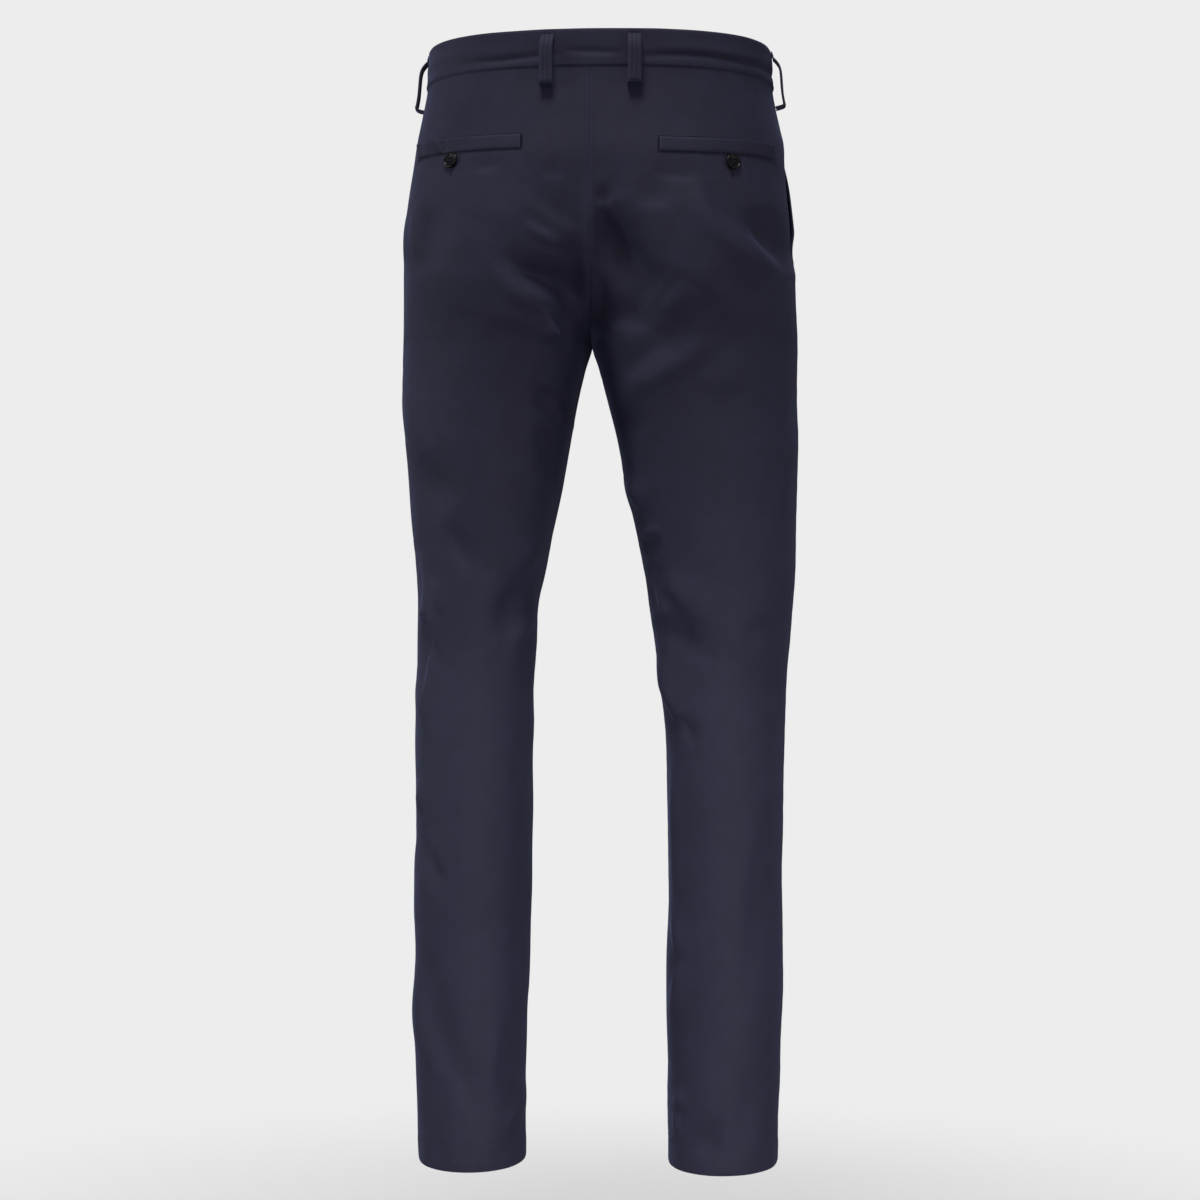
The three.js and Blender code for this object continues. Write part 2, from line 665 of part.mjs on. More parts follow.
// The welt of a back pocket: a folded strip along the pocket's mouth.
const WELTS = {
  1: { level: -84, from: 64, to: 186 },
  "-1": { level: -88, from: 64, to: 186 },
};
const WELT_STEPS = 12;
function welt(side) {
  const { level, from, to } = WELTS[side];
  const stations = spaced(from, to, WELT_STEPS).map((fromCentre) => {
    const corner = (height, lift) => {
      const at = level + height;
      return bodyPoint(side * (halfRound(side, at) - fromCentre), at, lift);
    };
    const half = WELT_HEIGHT / 2;
    const top = LIE_GAP + WELT_CLOTH;
    return [corner(-half, top), corner(half, top), corner(half, LIE_GAP), corner(-half, LIE_GAP)];
  });
  return strip(stations);
}

// A sew-through button with four holes, lying on +Z.
const HOLE_RADIUS = 0.9;
const HOLE_OFFSET = 1.5;
const BUTTON_BEVEL = 0.5;
function button(radius) {
  const disc = new THREE.Shape().absarc(0, 0, radius - BUTTON_BEVEL, 0, Math.PI * 2, false);
  for (const x of [-HOLE_OFFSET, HOLE_OFFSET])
    for (const y of [-HOLE_OFFSET, HOLE_OFFSET])
      disc.holes.push(new THREE.Path().absarc(x, y, HOLE_RADIUS, 0, Math.PI * 2, true));
  return new THREE.ExtrudeGeometry(disc, {
    depth: BUTTON_THICKNESS - 2 * BUTTON_BEVEL,
    bevelEnabled: true,
    bevelThickness: BUTTON_BEVEL,
    bevelSize: BUTTON_BEVEL,
    bevelSegments: 1,
    curveSegments: 10,
  }).translate(0, 0, BUTTON_BEVEL);
}

// Cloth that lies inside the fronts, at the fly, between two distances from centre front.
const FLY_COLUMNS = 4;
function behindFly(from, to, bottom, lift, thickness) {
  const levels = spaced(bottom, WAIST_SEAM_LEVEL - SEAM_GAP / 2, 10);
  const layer = (depth) =>
    levels.map((level) =>
      spaced(from, to, FLY_COLUMNS).map((around) => bodyPoint(around, level, lift - depth)),
    );
  return wall(layer(0), layer(thickness));
}

const trousers = new THREE.Group();
trousers.name = "chino_trousers";

const twill = () =>
  new THREE.MeshStandardMaterial({ color: NAVY, roughness: 0.8, metalness: 0 });
const horn = () =>
  new THREE.MeshStandardMaterial({ color: BLACK, roughness: 0.3, metalness: 0 });

function add(name, geometry, material = twill()) {
  const mesh = new THREE.Mesh(geometry, material);
  mesh.name = name;
  trousers.add(mesh);
  return mesh;
}

// Lays a button on the cloth at a place, facing out.
function addButton(name, around, level, lift) {
  const p = bodyPoint(around, level, lift);
  const out = bodyPoint(around, level, lift + 10).sub(p).normalize();
  const mesh = add(name, button(BUTTON_RADIUS), horn());
  mesh.position.copy(p);
  mesh.quaternion.setFromUnitVectors(new THREE.Vector3(0, 0, 1), out);
}

const SIDES = { left: 1, right: -1 };
const FRONT_LOOP_AROUND = 74;
const BACK_LOOP_FROM_CENTRE = 40;
const POCKET_BUTTON_FROM_CENTRE = 134;
const POCKET_BUTTON_BELOW_WELT = 14;
const WAIST_BUTTON_AROUND = 12;
const SIDE_LOOP_BEHIND = 2;

for (const [name, side] of Object.entries(SIDES)) {
  add("back_" + name, panel(side, 1));
  add("front_" + name, panel(side, -1));
  add("pocket_facing_" + name, facing(side));
  add("waistband_" + name, waistband(side));
  add("back_welt_" + name, welt(side));
  const atFront = () => side * FRONT_LOOP_AROUND;
  const atSide = (level) => side * (frontRound(side, level) + SIDE_LOOP_BEHIND);
  const atBack = (level) => side * (halfRound(side, level) - BACK_LOOP_FROM_CENTRE);
  add("belt_loop_front_" + name, beltLoop(atFront));
  add("belt_loop_side_" + name, beltLoop(atSide));
  add("belt_loop_back_" + name, beltLoop(atBack));
  const level = WELTS[side].level - POCKET_BUTTON_BELOW_WELT;
  const around = halfRound(side, level) - POCKET_BUTTON_FROM_CENTRE;
  addButton("back_button_" + name, side * around, level, LIE_GAP);
}
addButton("waist_button", WAIST_BUTTON_AROUND, 0, BAND_PROUD + LIE_GAP);
add("fly_zip", behindFly(-ZIP_WIDTH / 2, ZIP_WIDTH / 2, ZIP_BOTTOM_LEVEL, ZIP_LIFT, ZIP_CLOTH));
add("fly_shield", behindFly(-SHIELD_HALF, SHIELD_HALF, FLY_BOTTOM_LEVEL, SHIELD_LIFT, CLOTH));

export default trousers;
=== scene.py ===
# %% [markdown]
# # Slim chino trousers, filled out with nobody in them
# A pair of cotton twill trousers is two back panels and two front panels, joined at the sides,
# inside the legs and down the middle, with a band, loops, pockets and a fly sewn on. Each of
# those pieces is made here as its own thin shell of cloth, from a few tables that say how wide
# and how deep the filled trousers are at each height. Starting from tables and not from a
# sculpted lump means that every seam lands where two panels really meet.

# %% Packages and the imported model
import math
import bpy
import bmesh
import numpy as np
from mathutils import Matrix, Vector


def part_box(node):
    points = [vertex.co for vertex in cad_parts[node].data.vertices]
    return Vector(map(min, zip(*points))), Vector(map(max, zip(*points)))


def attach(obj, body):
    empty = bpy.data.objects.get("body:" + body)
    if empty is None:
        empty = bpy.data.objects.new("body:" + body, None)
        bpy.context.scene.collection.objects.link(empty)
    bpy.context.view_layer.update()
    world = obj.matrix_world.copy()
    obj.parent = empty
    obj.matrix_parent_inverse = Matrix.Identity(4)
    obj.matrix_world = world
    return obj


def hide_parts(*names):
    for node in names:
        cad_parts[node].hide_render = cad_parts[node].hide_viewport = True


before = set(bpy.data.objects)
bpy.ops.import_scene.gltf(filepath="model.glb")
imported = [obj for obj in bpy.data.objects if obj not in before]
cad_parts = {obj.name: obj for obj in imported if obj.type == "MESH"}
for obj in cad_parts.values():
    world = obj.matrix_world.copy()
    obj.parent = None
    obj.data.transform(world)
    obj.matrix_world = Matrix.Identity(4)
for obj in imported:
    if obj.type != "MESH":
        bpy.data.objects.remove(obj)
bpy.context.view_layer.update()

# %% [markdown]
# ## The camera
# The picture is a level view from straight behind, a few degrees towards the right leg. The
# camera stands three metres off, far enough for the waist and hems to keep their proportions.
# Its lens is worked out from how much of the world the square picture spans at that distance.

# %% Camera
CAMERA_DISTANCE = 3.0
CAMERA_AZIMUTH = math.radians(184.5)
PICTURE_SPAN = 1.14  # metres across the picture at the trousers
LOOK_AT = Vector((0, 0, -0.502))

camera = bpy.data.objects.new("camera", bpy.data.cameras.new("camera"))
bpy.context.collection.objects.link(camera)
camera.location = LOOK_AT + CAMERA_DISTANCE * Vector(
    (math.sin(CAMERA_AZIMUTH), -math.cos(CAMERA_AZIMUTH), 0)
)
camera.rotation_euler = (LOOK_AT - camera.location).to_track_quat("-Z", "Y").to_euler()
camera.data.sensor_width = 36
camera.data.lens = camera.data.sensor_width * CAMERA_DISTANCE / PICTURE_SPAN
bpy.context.scene.camera = camera
print("lens", round(camera.data.lens, 1), "mm")

# %% [markdown]
# ## Sizes
# Sewn things are measured in millimetres, so the tables below are too. They become metres only
# where points are turned into a mesh, and where a piece's flat size is worked out.

# %% Driving sizes, in millimetres, with 0 at the middle of the waistband
MM = 0.001
CLOTH = 1.5
SEAM_GAP = 0.3
HEM_LEVEL = -1031
CROTCH_LEVEL = -260
POCKET_BOTTOM_LEVEL = -186
WAIST_SEAM_LEVEL = -17.5
WAIST_TOP_LEVEL = 17.5
LEFT, RIGHT = 1, -1
BACK, FRONT = 1, -1
SIDES = {"left": LEFT, "right": RIGHT}
print("from the hems to the top of the waist:", WAIST_TOP_LEVEL - HEM_LEVEL, "mm")

# %% [markdown]
# ## Tables that become smooth curves
# A pattern maker measures a leg at a few heights and draws a fair curve through the marks. The
# helper below does the same. It joins the rows of a table with curves that never overshoot
# them, so a straight stretch stays straight and no knee bulges by accident.


# %% A table read as smooth curves
def table(names, rows):
    rows = np.array(rows, float)
    at = rows[:, 0]
    step = np.diff(at)
    curves = {}
    for column, name in enumerate(names.split()[1:], start=1):
        value = rows[:, column]
        rise = np.diff(value) / step
        slope = np.empty_like(value)
        slope[0], slope[-1] = rise[0], rise[-1]
        same = rise[:-1] * rise[1:] > 0
        total = np.where(same, rise[:-1] + rise[1:], 1)
        slope[1:-1] = np.where(same, 2 * rise[:-1] * rise[1:] / total, 0)
        curves[name] = (at, value, slope)
    return curves


def read(curves, name, level):
    at, value, slope = curves[name]
    x = np.clip(level, at[0], at[-1])
    i = np.clip(np.searchsorted(at, x, side="left") - 1, 0, len(at) - 2)
    span = at[i + 1] - at[i]
    t = (x - at[i]) / span
    return (
        value[i] * (2 * t**3 - 3 * t**2 + 1)
        + slope[i] * span * (t**3 - 2 * t**2 + t)
        + value[i + 1] * (3 * t**2 - 2 * t**3)
        + slope[i + 1] * span * (t**3 - t**2)
    )


def smooth(t):
    t = np.clip(t, 0, 1)
    return t * t * (3 - 2 * t)


print("a smooth step half way along:", smooth(0.5))

# %% [markdown]
# ## How wide, how deep, and where the seams run
# The outline table holds what the camera sees, leg by leg, because the two legs don't hang
# alike. The profile table holds the depth from back to front. The seam table follows the curved
# seam between the legs, from the crotch up to the waist.

# %% The tables of the body
OUTLINE = table("level leftOut leftIn rightOut rightIn", [
    [-1031, 172, 70, 169, 65],
    [-996, 173, 71, 169, 65],
    [-939, 175, 69.5, 171, 65.5],
    [-882, 176, 68, 173, 66],
    [-825, 176.5, 66, 174, 66],
    [-749, 176, 64.5, 174, 65.5],
    [-692, 175, 64, 174, 64.5],
    [-635, 175.5, 64, 174.5, 63.5],
    [-597, 175, 64.5, 176.5, 60],
    [-559, 174, 62.5, 178, 55],
    [-521, 174.5, 60.5, 181.5, 48.5],
    [-464, 177, 50.5, 185.5, 40],
    [-407, 181.5, 39, 186, 28.5],
    [-350, 185.5, 27.5, 188, 17],
    [-312, 187, 21.5, 186.5, 8],
    [-284, 187, 14.5, 186.5, 0],
    [-260, 187, 7, 187, -7],
    [-200, 186, 0, 185.5, 0],
    [-160, 185.5, 0, 185, 0],
    [-122, 182.5, 0, 182.5, 0],
    [-84, 177, 0, 177, 0],
    [-46, 168.5, 0, 168.5, 0],
    [-17.5, 163.5, 0, 163.5, 0],
    [17.5, 161.5, 0, 161.5, 0],
])
PROFILE = table("level back front side inseam", [
    [-1031, 66, -56, 5, 5],
    [-939, 68, -57, 6, 6],
    [-825, 73, -60, 7, 7],
    [-749, 77, -63, 7, 7],
    [-692, 77, -67, 5, 6],
    [-635, 73, -71, 1, 3],
    [-559, 67, -78, -4, -2],
    [-502, 71, -84, -5, -3],
    [-407, 85, -95, -3, 0],
    [-312, 102, -104, 0, 5],
    [-260, 115, -106, 2, 8],
    [-200, 130, -108, 2, 8],
    [-150, 132, -109, 2, 8],
    [-100, 126, -110, 1, 8],
    [-60, 117, -109, 0, 8],
    [-17.5, 109, -105, 0, 8],
    [17.5, 107, -103, 0, 8],
])
SEAM = table("level x back front backTurn frontTurn", [
    [-260, 7, 8, 8, 90, 90],
    [-258, 6.6, 22, -6, 86, 86],
    [-254, 6, 37, -22, 81, 79],
    [-247, 5, 53, -40, 73, 68],
    [-236, 3.4, 72, -60, 60, 50],
    [-220, 1.6, 92, -80, 43, 30],
    [-200, 0.5, 108, -95, 28, 15],
    [-175, 0, 120, -103, 16, 6],
    [-145, 0, 127, -108, 8, 2],
    [-100, 0, 125, -110, 3, 0],
    [-60, 0, 117, -109, 0, 0],
    [-17.5, 0, 109, -105, 0, 0],
    [17.5, 0, 107, -103, 0, 0],
])
ROUNDING = table("level back front", [
    [-620, 1.333, 1.333],
    [-480, 1.28, 1.28],
    [-380, 1.2, 1.2],
    [-300, 1.1, 1.08],
    [-240, 1, 0.92],
    [-180, 0.84, 0.76],
    [-110, 0.68, 0.64],
    [17.5, 0.62, 0.6],
])
crotch_depth = read(PROFILE, "back", CROTCH_LEVEL) - read(PROFILE, "front", CROTCH_LEVEL)
print("from back to front at the crotch:", round(crotch_depth), "mm")

# %% [markdown]
# ## One quarter of the body in plan
# Cut the filled trousers level and look down: from a seam between the legs to the side seam the
# cloth runs in one fair bend. A cubic Bezier curve draws that bend. On a leg it starts straight
# back, in the seat it starts sideways, and round the crotch it turns from one to the other. The
# length of its first handle is found by halving, so that the curve just reaches its full depth.

# %% The plan curve
STRAIGHT_SHARE = 0.66
FLAT_TURN = 28
HANDLE_MOST, HANDLE_CLOSE = 260, 0.02
PLAN_STEPS = 128
PLAN_T = np.linspace(0, 1, PLAN_STEPS + 1)


def bezier(a, b, c, d, t):
    return (1 - t) ** 3 * a + 3 * t * (1 - t) ** 2 * b + 3 * t**2 * (1 - t) * c + t**3 * d


def handle_for(face, inner_y, turn, handle_y, side_y, deepest):
    low, high = 0.0, HANDLE_MOST
    while high - low > HANDLE_CLOSE:
        reach = (low + high) / 2
        most = np.max(face * bezier(inner_y, inner_y + face * math.sin(turn) * reach, handle_y,
                                    side_y, PLAN_T[::2]))
        low, high = (reach, high) if most < face * deepest else (low, reach)
    return low


PLANS = {}


def plan(side, face, level):
    """Points of a quarter's plan at one level, and the distance along it to each."""
    key = (side, face, round(float(level), 3))
    if key in PLANS:
        return PLANS[key]
    leg = "left" if side > 0 else "right"
    out = side * read(OUTLINE, leg + "Out", level)
    torso = level > CROTCH_LEVEL
    way = "back" if face > 0 else "front"
    deepest = read(PROFILE, way, level)
    side_y = read(PROFILE, "side", level)
    inner_x = read(SEAM, "x", level) if torso else side * read(OUTLINE, leg + "In", level)
    inner_y = read(SEAM, way, level) if torso else read(PROFILE, "inseam", level)
    turn_degrees = read(SEAM, way + "Turn", level) if torso else 90
    turn = math.radians(turn_degrees)
    handle_y = side_y + read(ROUNDING, way, level) * (deepest - side_y)
    flat = STRAIGHT_SHARE * abs(out - inner_x)
    turned = smooth(turn_degrees / FLAT_TURN)
    full = handle_for(face, inner_y, turn, handle_y, side_y, deepest) if turned > 0 else flat
    reach = flat + (full - flat) * turned
    x = bezier(inner_x, inner_x + side * math.cos(turn) * reach, out, out, PLAN_T)
    y = bezier(inner_y, inner_y + face * math.sin(turn) * reach, handle_y, side_y, PLAN_T)
    along = np.concatenate([[0], np.cumsum(np.hypot(np.diff(x), np.diff(y)))])
    PLANS[key] = (x, y, along)
    return PLANS[key]


def plan_length(side, face, level):
    return plan(side, face, level)[2][-1]


print("each quarter of the plan is drawn in", PLAN_STEPS, "steps")

# %% [markdown]
# ## The tilt of the waist and the hems
# A waistband sits higher at the back than at the front, and a trouser leg's hem drops a little
# behind. Both are small slopes that fade away towards the hips and the calves.

# %% Waist and hem tilt
WAIST_TILT = {"flat": -2, "slope": 0.0925, "bow": -0.0003, "fade_from": -120, "fade_to": -30}
HEM_TILT = {"slope": -0.083, "middle": 5, "fade_from": -900, "fade_to": -1020}


def fade(level, tilt):
    return smooth((level - tilt["fade_from"]) / (tilt["fade_to"] - tilt["fade_from"]))


def tilted(y, level):
    waist = WAIST_TILT["flat"] + WAIST_TILT["slope"] * y + WAIST_TILT["bow"] * y * y
    hem = HEM_TILT["slope"] * (y - HEM_TILT["middle"])
    return level + waist * fade(level, WAIST_TILT) + hem * fade(level, HEM_TILT)


waist_back, waist_front = (
    tilted(read(PROFILE, way, WAIST_TOP_LEVEL), WAIST_TOP_LEVEL) for way in ("back", "front")
)
print("the waist is", round(waist_back - waist_front, 1), "mm higher behind than in front")

# %% [markdown]
# ## Folds placed one by one
# Worn-shaped trousers crease where the body bends them: out from the crotch, across the back of
# the knee and down towards the hem. A cloth simulation would find creases of its own, but not
# these ones. So each fold is a row in a table: where it starts and ends as seen from behind or
# in front, how much it bows, how wide it is, and how high. The first table holds the large folds
# that the solids have too, and the second the fine ones that only the finished cloth shows.

# %% Tables of folds: face x1 level1 x2 level2 bow width high
LARGE_FOLDS = [
    [1, 48, -126, 6, -158, 5, 12, -3.5],
    [1, 38, -168, 5, -192, 3, 11, -3.5],
    [1, 80, -184, 4, -220, 9, 13, -6],
    [1, 84, -204, 24, -232, 8, 12, 3],
    [1, 14, -192, 14, -248, 0, 13, -4],
    [1, 92, -240, 20, -262, -6, 14, 3],
    [1, -4, -128, -58, -230, 8, 22, -5],
    [1, -30, -130, -84, -206, 8, 15, 3],
    [1, -3, -232, -56, -256, -3, 12, -5],
    [1, -26, -289, -96, -249, 3, 13, -5],
    [1, -40, -306, -110, -262, 4, 12, 3],
    [1, -112, -118, -182, -178, 12, 13, -5],
    [1, -100, -134, -170, -196, 12, 13, 3],
    [1, 182, -300, 154, -372, 4, 14, 4],
    [1, 168, -372, 132, -418, 0, 18, -4],
    [1, 136, -428, 110, -474, 3, 13, -4],
    [1, 53, -312, 34, -318, 0, 14, -4],
    [1, 175, -462, 142, -566, 4, 11, -5.5],
    [1, 166, -498, 156, -532, 0, 10, 4],
    [1, 168, -576, 158, -616, 0, 12, 3.5],
    [1, 52, -474, 86, -532, 5, 13, -5],
    [1, 58, -502, 74, -556, 4, 11, 3],
    [1, -28, -382, -38, -418, 0, 11, 4],
    [1, -44, -472, -68, -514, 0, 12, -5],
    [1, -60, -478, -92, -512, 0, 11, 4],
    [1, -50, -527, -100, -552, -3, 13, -5.5],
    [1, -57, -554, -78, -604, 3, 11, 4.5],
    [1, -176, -600, -140, -560, 0, 16, -3.5],
    [1, 174, -716, 144, -766, 0, 14, -4],
    [1, 169, -816, 128, -946, 8, 15, -4.5],
    [1, 176, -860, 150, -940, 6, 12, 3],
    [1, 65, -884, 81, -974, 4, 13, -4],
    [1, -74, -796, -68, -926, 5, 12, 3.5],
    [1, -171, -708, -150, -866, 5, 17, -4],
    [1, -96, -996, -118, -1004, 0, 16, -3],
    [-1, 14, -214, 84, -196, 6, 13, -4],
    [-1, -14, -212, -88, -200, -6, 13, -4],
    [-1, 16, -238, 92, -256, 4, 14, -4],
    [-1, -16, -240, -84, -262, -4, 14, -4],
    [-1, 30, -290, 80, -340, 0, 15, 3],
    [-1, 60, -500, 130, -530, 6, 15, -4.5],
    [-1, -58, -512, -126, -536, -6, 15, -4.5],
    [-1, 172, -560, 120, -590, 0, 14, -4],
    [-1, -176, -566, -122, -588, 0, 14, -4],
    [-1, 160, -900, 110, -950, 5, 16, -3.5],
    [-1, -70, -910, -130, -952, -5, 16, -3.5],
]
FINE_FOLDS = [
    # the seat and hips
    [1, -10, -142, -56, -228, 8, 22, -3.6],
    [1, -64, -196, -26, -258, -6, 20, -1.9],
    [1, 24, -186, 14, -250, 4, 17, -2.8],
    [1, 66, -196, 30, -214, 3, 8, -1.2],
    [1, 60, -214, 22, -228, 3, 7, 1],
    [1, 60, -146, 20, -168, 4, 7, -0.9],
    [1, 56, -158, 18, -180, 4, 6, 0.8],
    [1, 160, -118, 178, -186, 4, 7, 1.6],
    [1, 42, -232, 30, -268, 3, 6, 1.5],
    [1, 34, -236, 24, -262, 2, 6, -1.6],
    [1, 52, -262, 30, -252, 0, 7, 1.2],
    [1, -150, -140, -184, -196, 6, 9, -2.4],
    [1, 150, -120, 160, -190, 6, 9, 1.8],
    [1, 138, -130, 148, -200, 6, 12, -1.6],
    [1, 146, -72, 140, -90, 0, 3, 0.7],
    [1, 141, -74, 136, -92, 0, 3, -0.7],
    [1, 152, -66, 147, -88, 0, 3.5, 0.8],
    [1, -58, -112, -104, -114, 2, 6, -0.5],
    [1, 112, -106, 76, -104, 0, 6, -0.5],
    [1, 44, -108, 20, -112, 2, 7, -0.4],
    [1, -6, -126, -20, -140, 0, 12, -0.9],
    [1, -38, -134, -76, -136, 0, 11, -0.7],
    [1, -92, -214, -66, -244, 0, 10, 1.1],
    [1, -120, -196, -164, -230, 5, 14, -1],
    # under the seat
    [1, 30, -316, 22, -345, 4, 5, 1.5],
    [1, 52, -304, 30, -306, -2, 6, 1.3],
    [1, 22, -330, 31, -385, -2, 4, 1.2],
    [1, 44, -336, 38, -392, 3, 10, -1.7],
    [1, -22, -318, -40, -352, 0, 10, -1.5],
    [1, -33, -384, -45, -421, 0, 5, 1.4],
    [1, -96, -300, -150, -286, 4, 16, 0.9],
    # behind the knees
    [1, 167, -456, 138, -566, 4, 5.5, 1.7],
    [1, 153, -482, 143, -516, 0, 5, 1],
    [1, 164, -488, 162, -528, 2, 5, 1.5],
    [1, 168, -512, 158, -518, 0, 3, 1],
    [1, 168, -520, 159, -527, 0, 3, -1],
    [1, 153, -513, 159, -602, -3, 5, 1.6],
    [1, 66, -478, 52, -438, 0, 8, 1.3],
    [1, 84, -536, 60, -500, 0, 5, -1.1],
    [1, 78, -546, 62, -514, 0, 5, 1],
    [1, 60, -520, 67, -640, -3, 5.5, 1.3],
    [1, -43, -446, -60, -434, 0, 5, 1.4],
    [1, -44, -454, -62, -452, 0, 6, -1.6],
    [1, -48, -478, -64, -524, -2, 5, 1.6],
    [1, -60, -552, -84, -624, 3, 5.5, 1.9],
    [1, -80, -606, -94, -640, 0, 6, -1],
    [1, -178, -510, -140, -532, -6, 12, -1.3],
    # down the calves to the hems
    [1, 167, -672, 168, -704, 0, 5, 1.3],
    [1, 158, -716, 138, -760, 0, 6, 1.2],
    [1, 66, -900, 67, -948, -3, 5, 1.2],
    [1, 66, -952, 84, -998, -2, 5, 1.3],
    [1, 118, -930, 98, -1000, 4, 12, -1],
    [1, -72, -650, -74, -786, 0, 5, 1.5],
    [1, -73, -788, -80, -838, 0, 5, 1.3],
    [1, -80, -838, -72, -900, 0, 5, 1.3],
    [1, -82, -958, -75, -976, 2, 5, 1.1],
    [1, -73, -976, -75, -1000, 0, 3, 1],
    [1, -150, -930, -132, -1000, -4, 12, -0.9],
    # the front, which the camera doesn't see
    [-1, 10, -150, 60, -134, 4, 8, -1.2],
    [-1, -40, -158, -84, -140, -4, 9, -1.1],
    [-1, 24, -226, 70, -218, 3, 6, 1.2],
    [-1, -22, -228, -66, -226, -3, 6, 1.2],
    [-1, 30, -262, 66, -284, 2, 6, -1.3],
    [-1, -28, -264, -70, -290, -2, 6, -1.3],
    [-1, 132, -214, 168, -250, 4, 10, -1.2],
    [-1, -136, -210, -166, -246, -4, 10, -1.2],
    [-1, 44, -380, 52, -440, 3, 8, 1.2],
    [-1, -42, -372, -50, -436, -3, 8, 1.2],
    [-1, 70, -482, 128, -494, 4, 5, 1.2],
    [-1, 66, -520, 112, -560, 4, 6, -1.3],
    [-1, -70, -492, -118, -508, -4, 5, 1.2],
    [-1, -64, -530, -108, -566, -4, 6, -1.3],
    [-1, 150, -520, 172, -548, 0, 5, 1.2],
    [-1, -150, -524, -172, -552, 0, 5, 1.2],
    [-1, 82, -700, 88, -800, 4, 10, 1],
    [-1, -86, -690, -90, -806, -4, 10, 1],
    [-1, 98, -940, 140, -972, 4, 8, 1.3],
    [-1, -96, -946, -138, -980, -4, 8, 1.3],
    [-1, 78, -968, 104, -1002, 3, 7, -1.2],
    [-1, -78, -974, -104, -1008, -3, 7, -1.2],
]
print(len(LARGE_FOLDS), "large folds and", len(FINE_FOLDS), "fine ones")

# %% [markdown]
# ## From a row of the table to cloth that moves
# Every point of the cloth looks for the nearest place on a fold's bowed line. The height there
# falls away to both sides like a soft bell, and towards the fold's two ends. Every fold leans:
# one of its sides is steeper, because real cloth is pushed over, never folded evenly. The fine
# folds, and behind the large ones too, are made deeper than the tables say, because soft studio
# light flattens them.

# %% How folds move the cloth
FOLD_STRETCHES = 16
FOLD_REACH = 3  # widths from its line, past which a fold isn't felt
LARGE_END = 0.3  # of a large fold's height left at its ends
LARGE_DEPTH = {BACK: 1.5, FRONT: 1}  # the cloth's large folds against those of the solids
FINE_LEAN = 0.3
LARGE_LEAN = 0.25
FINE_DEPTH = {BACK: 3.3, FRONT: 1.7}  # how much the fine folds stand out
SIDEWAYS_DEPTH = 0.5  # of a fold's height where the cloth faces sideways
FOLD_WRAP = 18  # past the side seam, where the folds of one face die away
SEAM_HOLD = 10
LEG_GAP_HOLD = 30


def fold_height(rows, x, level, end, lean):
    high = np.zeros_like(x)
    t = np.linspace(0, 1, FOLD_STRETCHES + 1)
    for _, x1, level1, x2, level2, bow, width, height in rows:
        dx, dz = x2 - x1, level2 - level1
        bend = 4 * bow * t * (1 - t) / math.hypot(dx, dz)
        line = np.array([x1 + dx * t - dz * bend, level1 + dz * t + dx * bend])
        low, top = line.min(axis=1) - FOLD_REACH * width, line.max(axis=1) + FOLD_REACH * width
        near = (x > low[0]) & (x < top[0]) & (level > low[1]) & (level < top[1])
        if not near.any():
            continue
        point = np.array([x[near], level[near]])[:, :, None]
        start, step = line[:, None, :-1], np.diff(line)[:, None, :]
        along = np.clip(((point - start) * step).sum(0) / (step**2).sum(0), 0, 1)
        gap = point - start - step * along
        away = np.hypot(*gap)
        pick = away.argmin(axis=1)
        each = np.arange(len(pick))
        gap = gap[:, each, pick]
        side_of = np.sign(gap[0] * step[1, 0, pick] - gap[1] * step[0, 0, pick])
        far = side_of * away[each, pick] / width
        far = far * (1 - lean * np.tanh(far))
        place = (pick + along[each, pick]) / FOLD_STRETCHES
        taper = end + (1 - end) * np.sin(np.pi * place)
        high[near] += height * taper * np.exp(-(far**2))
    return high


def folds(x, y, level):
    """All folds at once: those behind on the back, those in front on the front."""
    rear = smooth((y + FOLD_WRAP) / (2 * FOLD_WRAP))
    high = np.zeros_like(x)
    for face, share in ((BACK, rear), (FRONT, 1 - rear)):
        if not (share > 0).any():
            continue
        large = [row for row in LARGE_FOLDS if row[0] == face]
        fine = [row for row in FINE_FOLDS if row[0] == face]
        high += share * LARGE_DEPTH[face] * fold_height(large, x, level, LARGE_END, LARGE_LEAN)
        high += share * FINE_DEPTH[face] * fold_height(fine, x, level, 0, FINE_LEAN)
    held = smooth(np.abs(x - read(SEAM, "x", level)) / SEAM_HOLD)
    return np.where(level > CROTCH_LEVEL - LEG_GAP_HOLD, high * held, high)


deepest_fold = LARGE_DEPTH[BACK] * max(abs(row[-1]) for row in LARGE_FOLDS)
print("deepest large fold:", deepest_fold, "mm")

# %% [markdown]
# ## The unevenness of any real cloth
# Between its folds, cotton twill is never perfectly even. A sum of shallow waves in scattered
# directions gives that, and it costs next to nothing. The waves come from a fixed seed, so that
# every run makes the same trousers.

# %% Shallow waves
WAVES = 14
WAVE_HEIGHT = 0.1
WAVE_DEPTHWISE, WAVE_UPWARD = 0.7, 0.6  # the waves are longer from back to front, and up
chance = np.random.default_rng(7)
wave_length = chance.uniform(28, 95, WAVES)
wave_turn = chance.uniform(0, np.pi, WAVES)
wave_start = chance.uniform(0, 2 * np.pi, WAVES)


def unevenness(x, y, level):
    high = np.zeros_like(x)
    for length, turn, start in zip(wave_length, wave_turn, wave_start):
        along = (x + WAVE_DEPTHWISE * y) * np.cos(turn) + level * np.sin(turn) * WAVE_UPWARD
        high += np.sin(2 * np.pi * along / length + start)
    return high * WAVE_HEIGHT


print("waves", round(wave_length.min()), "to", round(wave_length.max()), "mm long")

# %% [markdown]
# ## The gaping pockets and the ridge along each seam
# The slant pockets of filled trousers gape a little, so the cloth behind each mouth sinks in.
# Where two panels are sewn together, the turned-in cloth under the seam lifts it in a low,
# slightly puckered ridge.

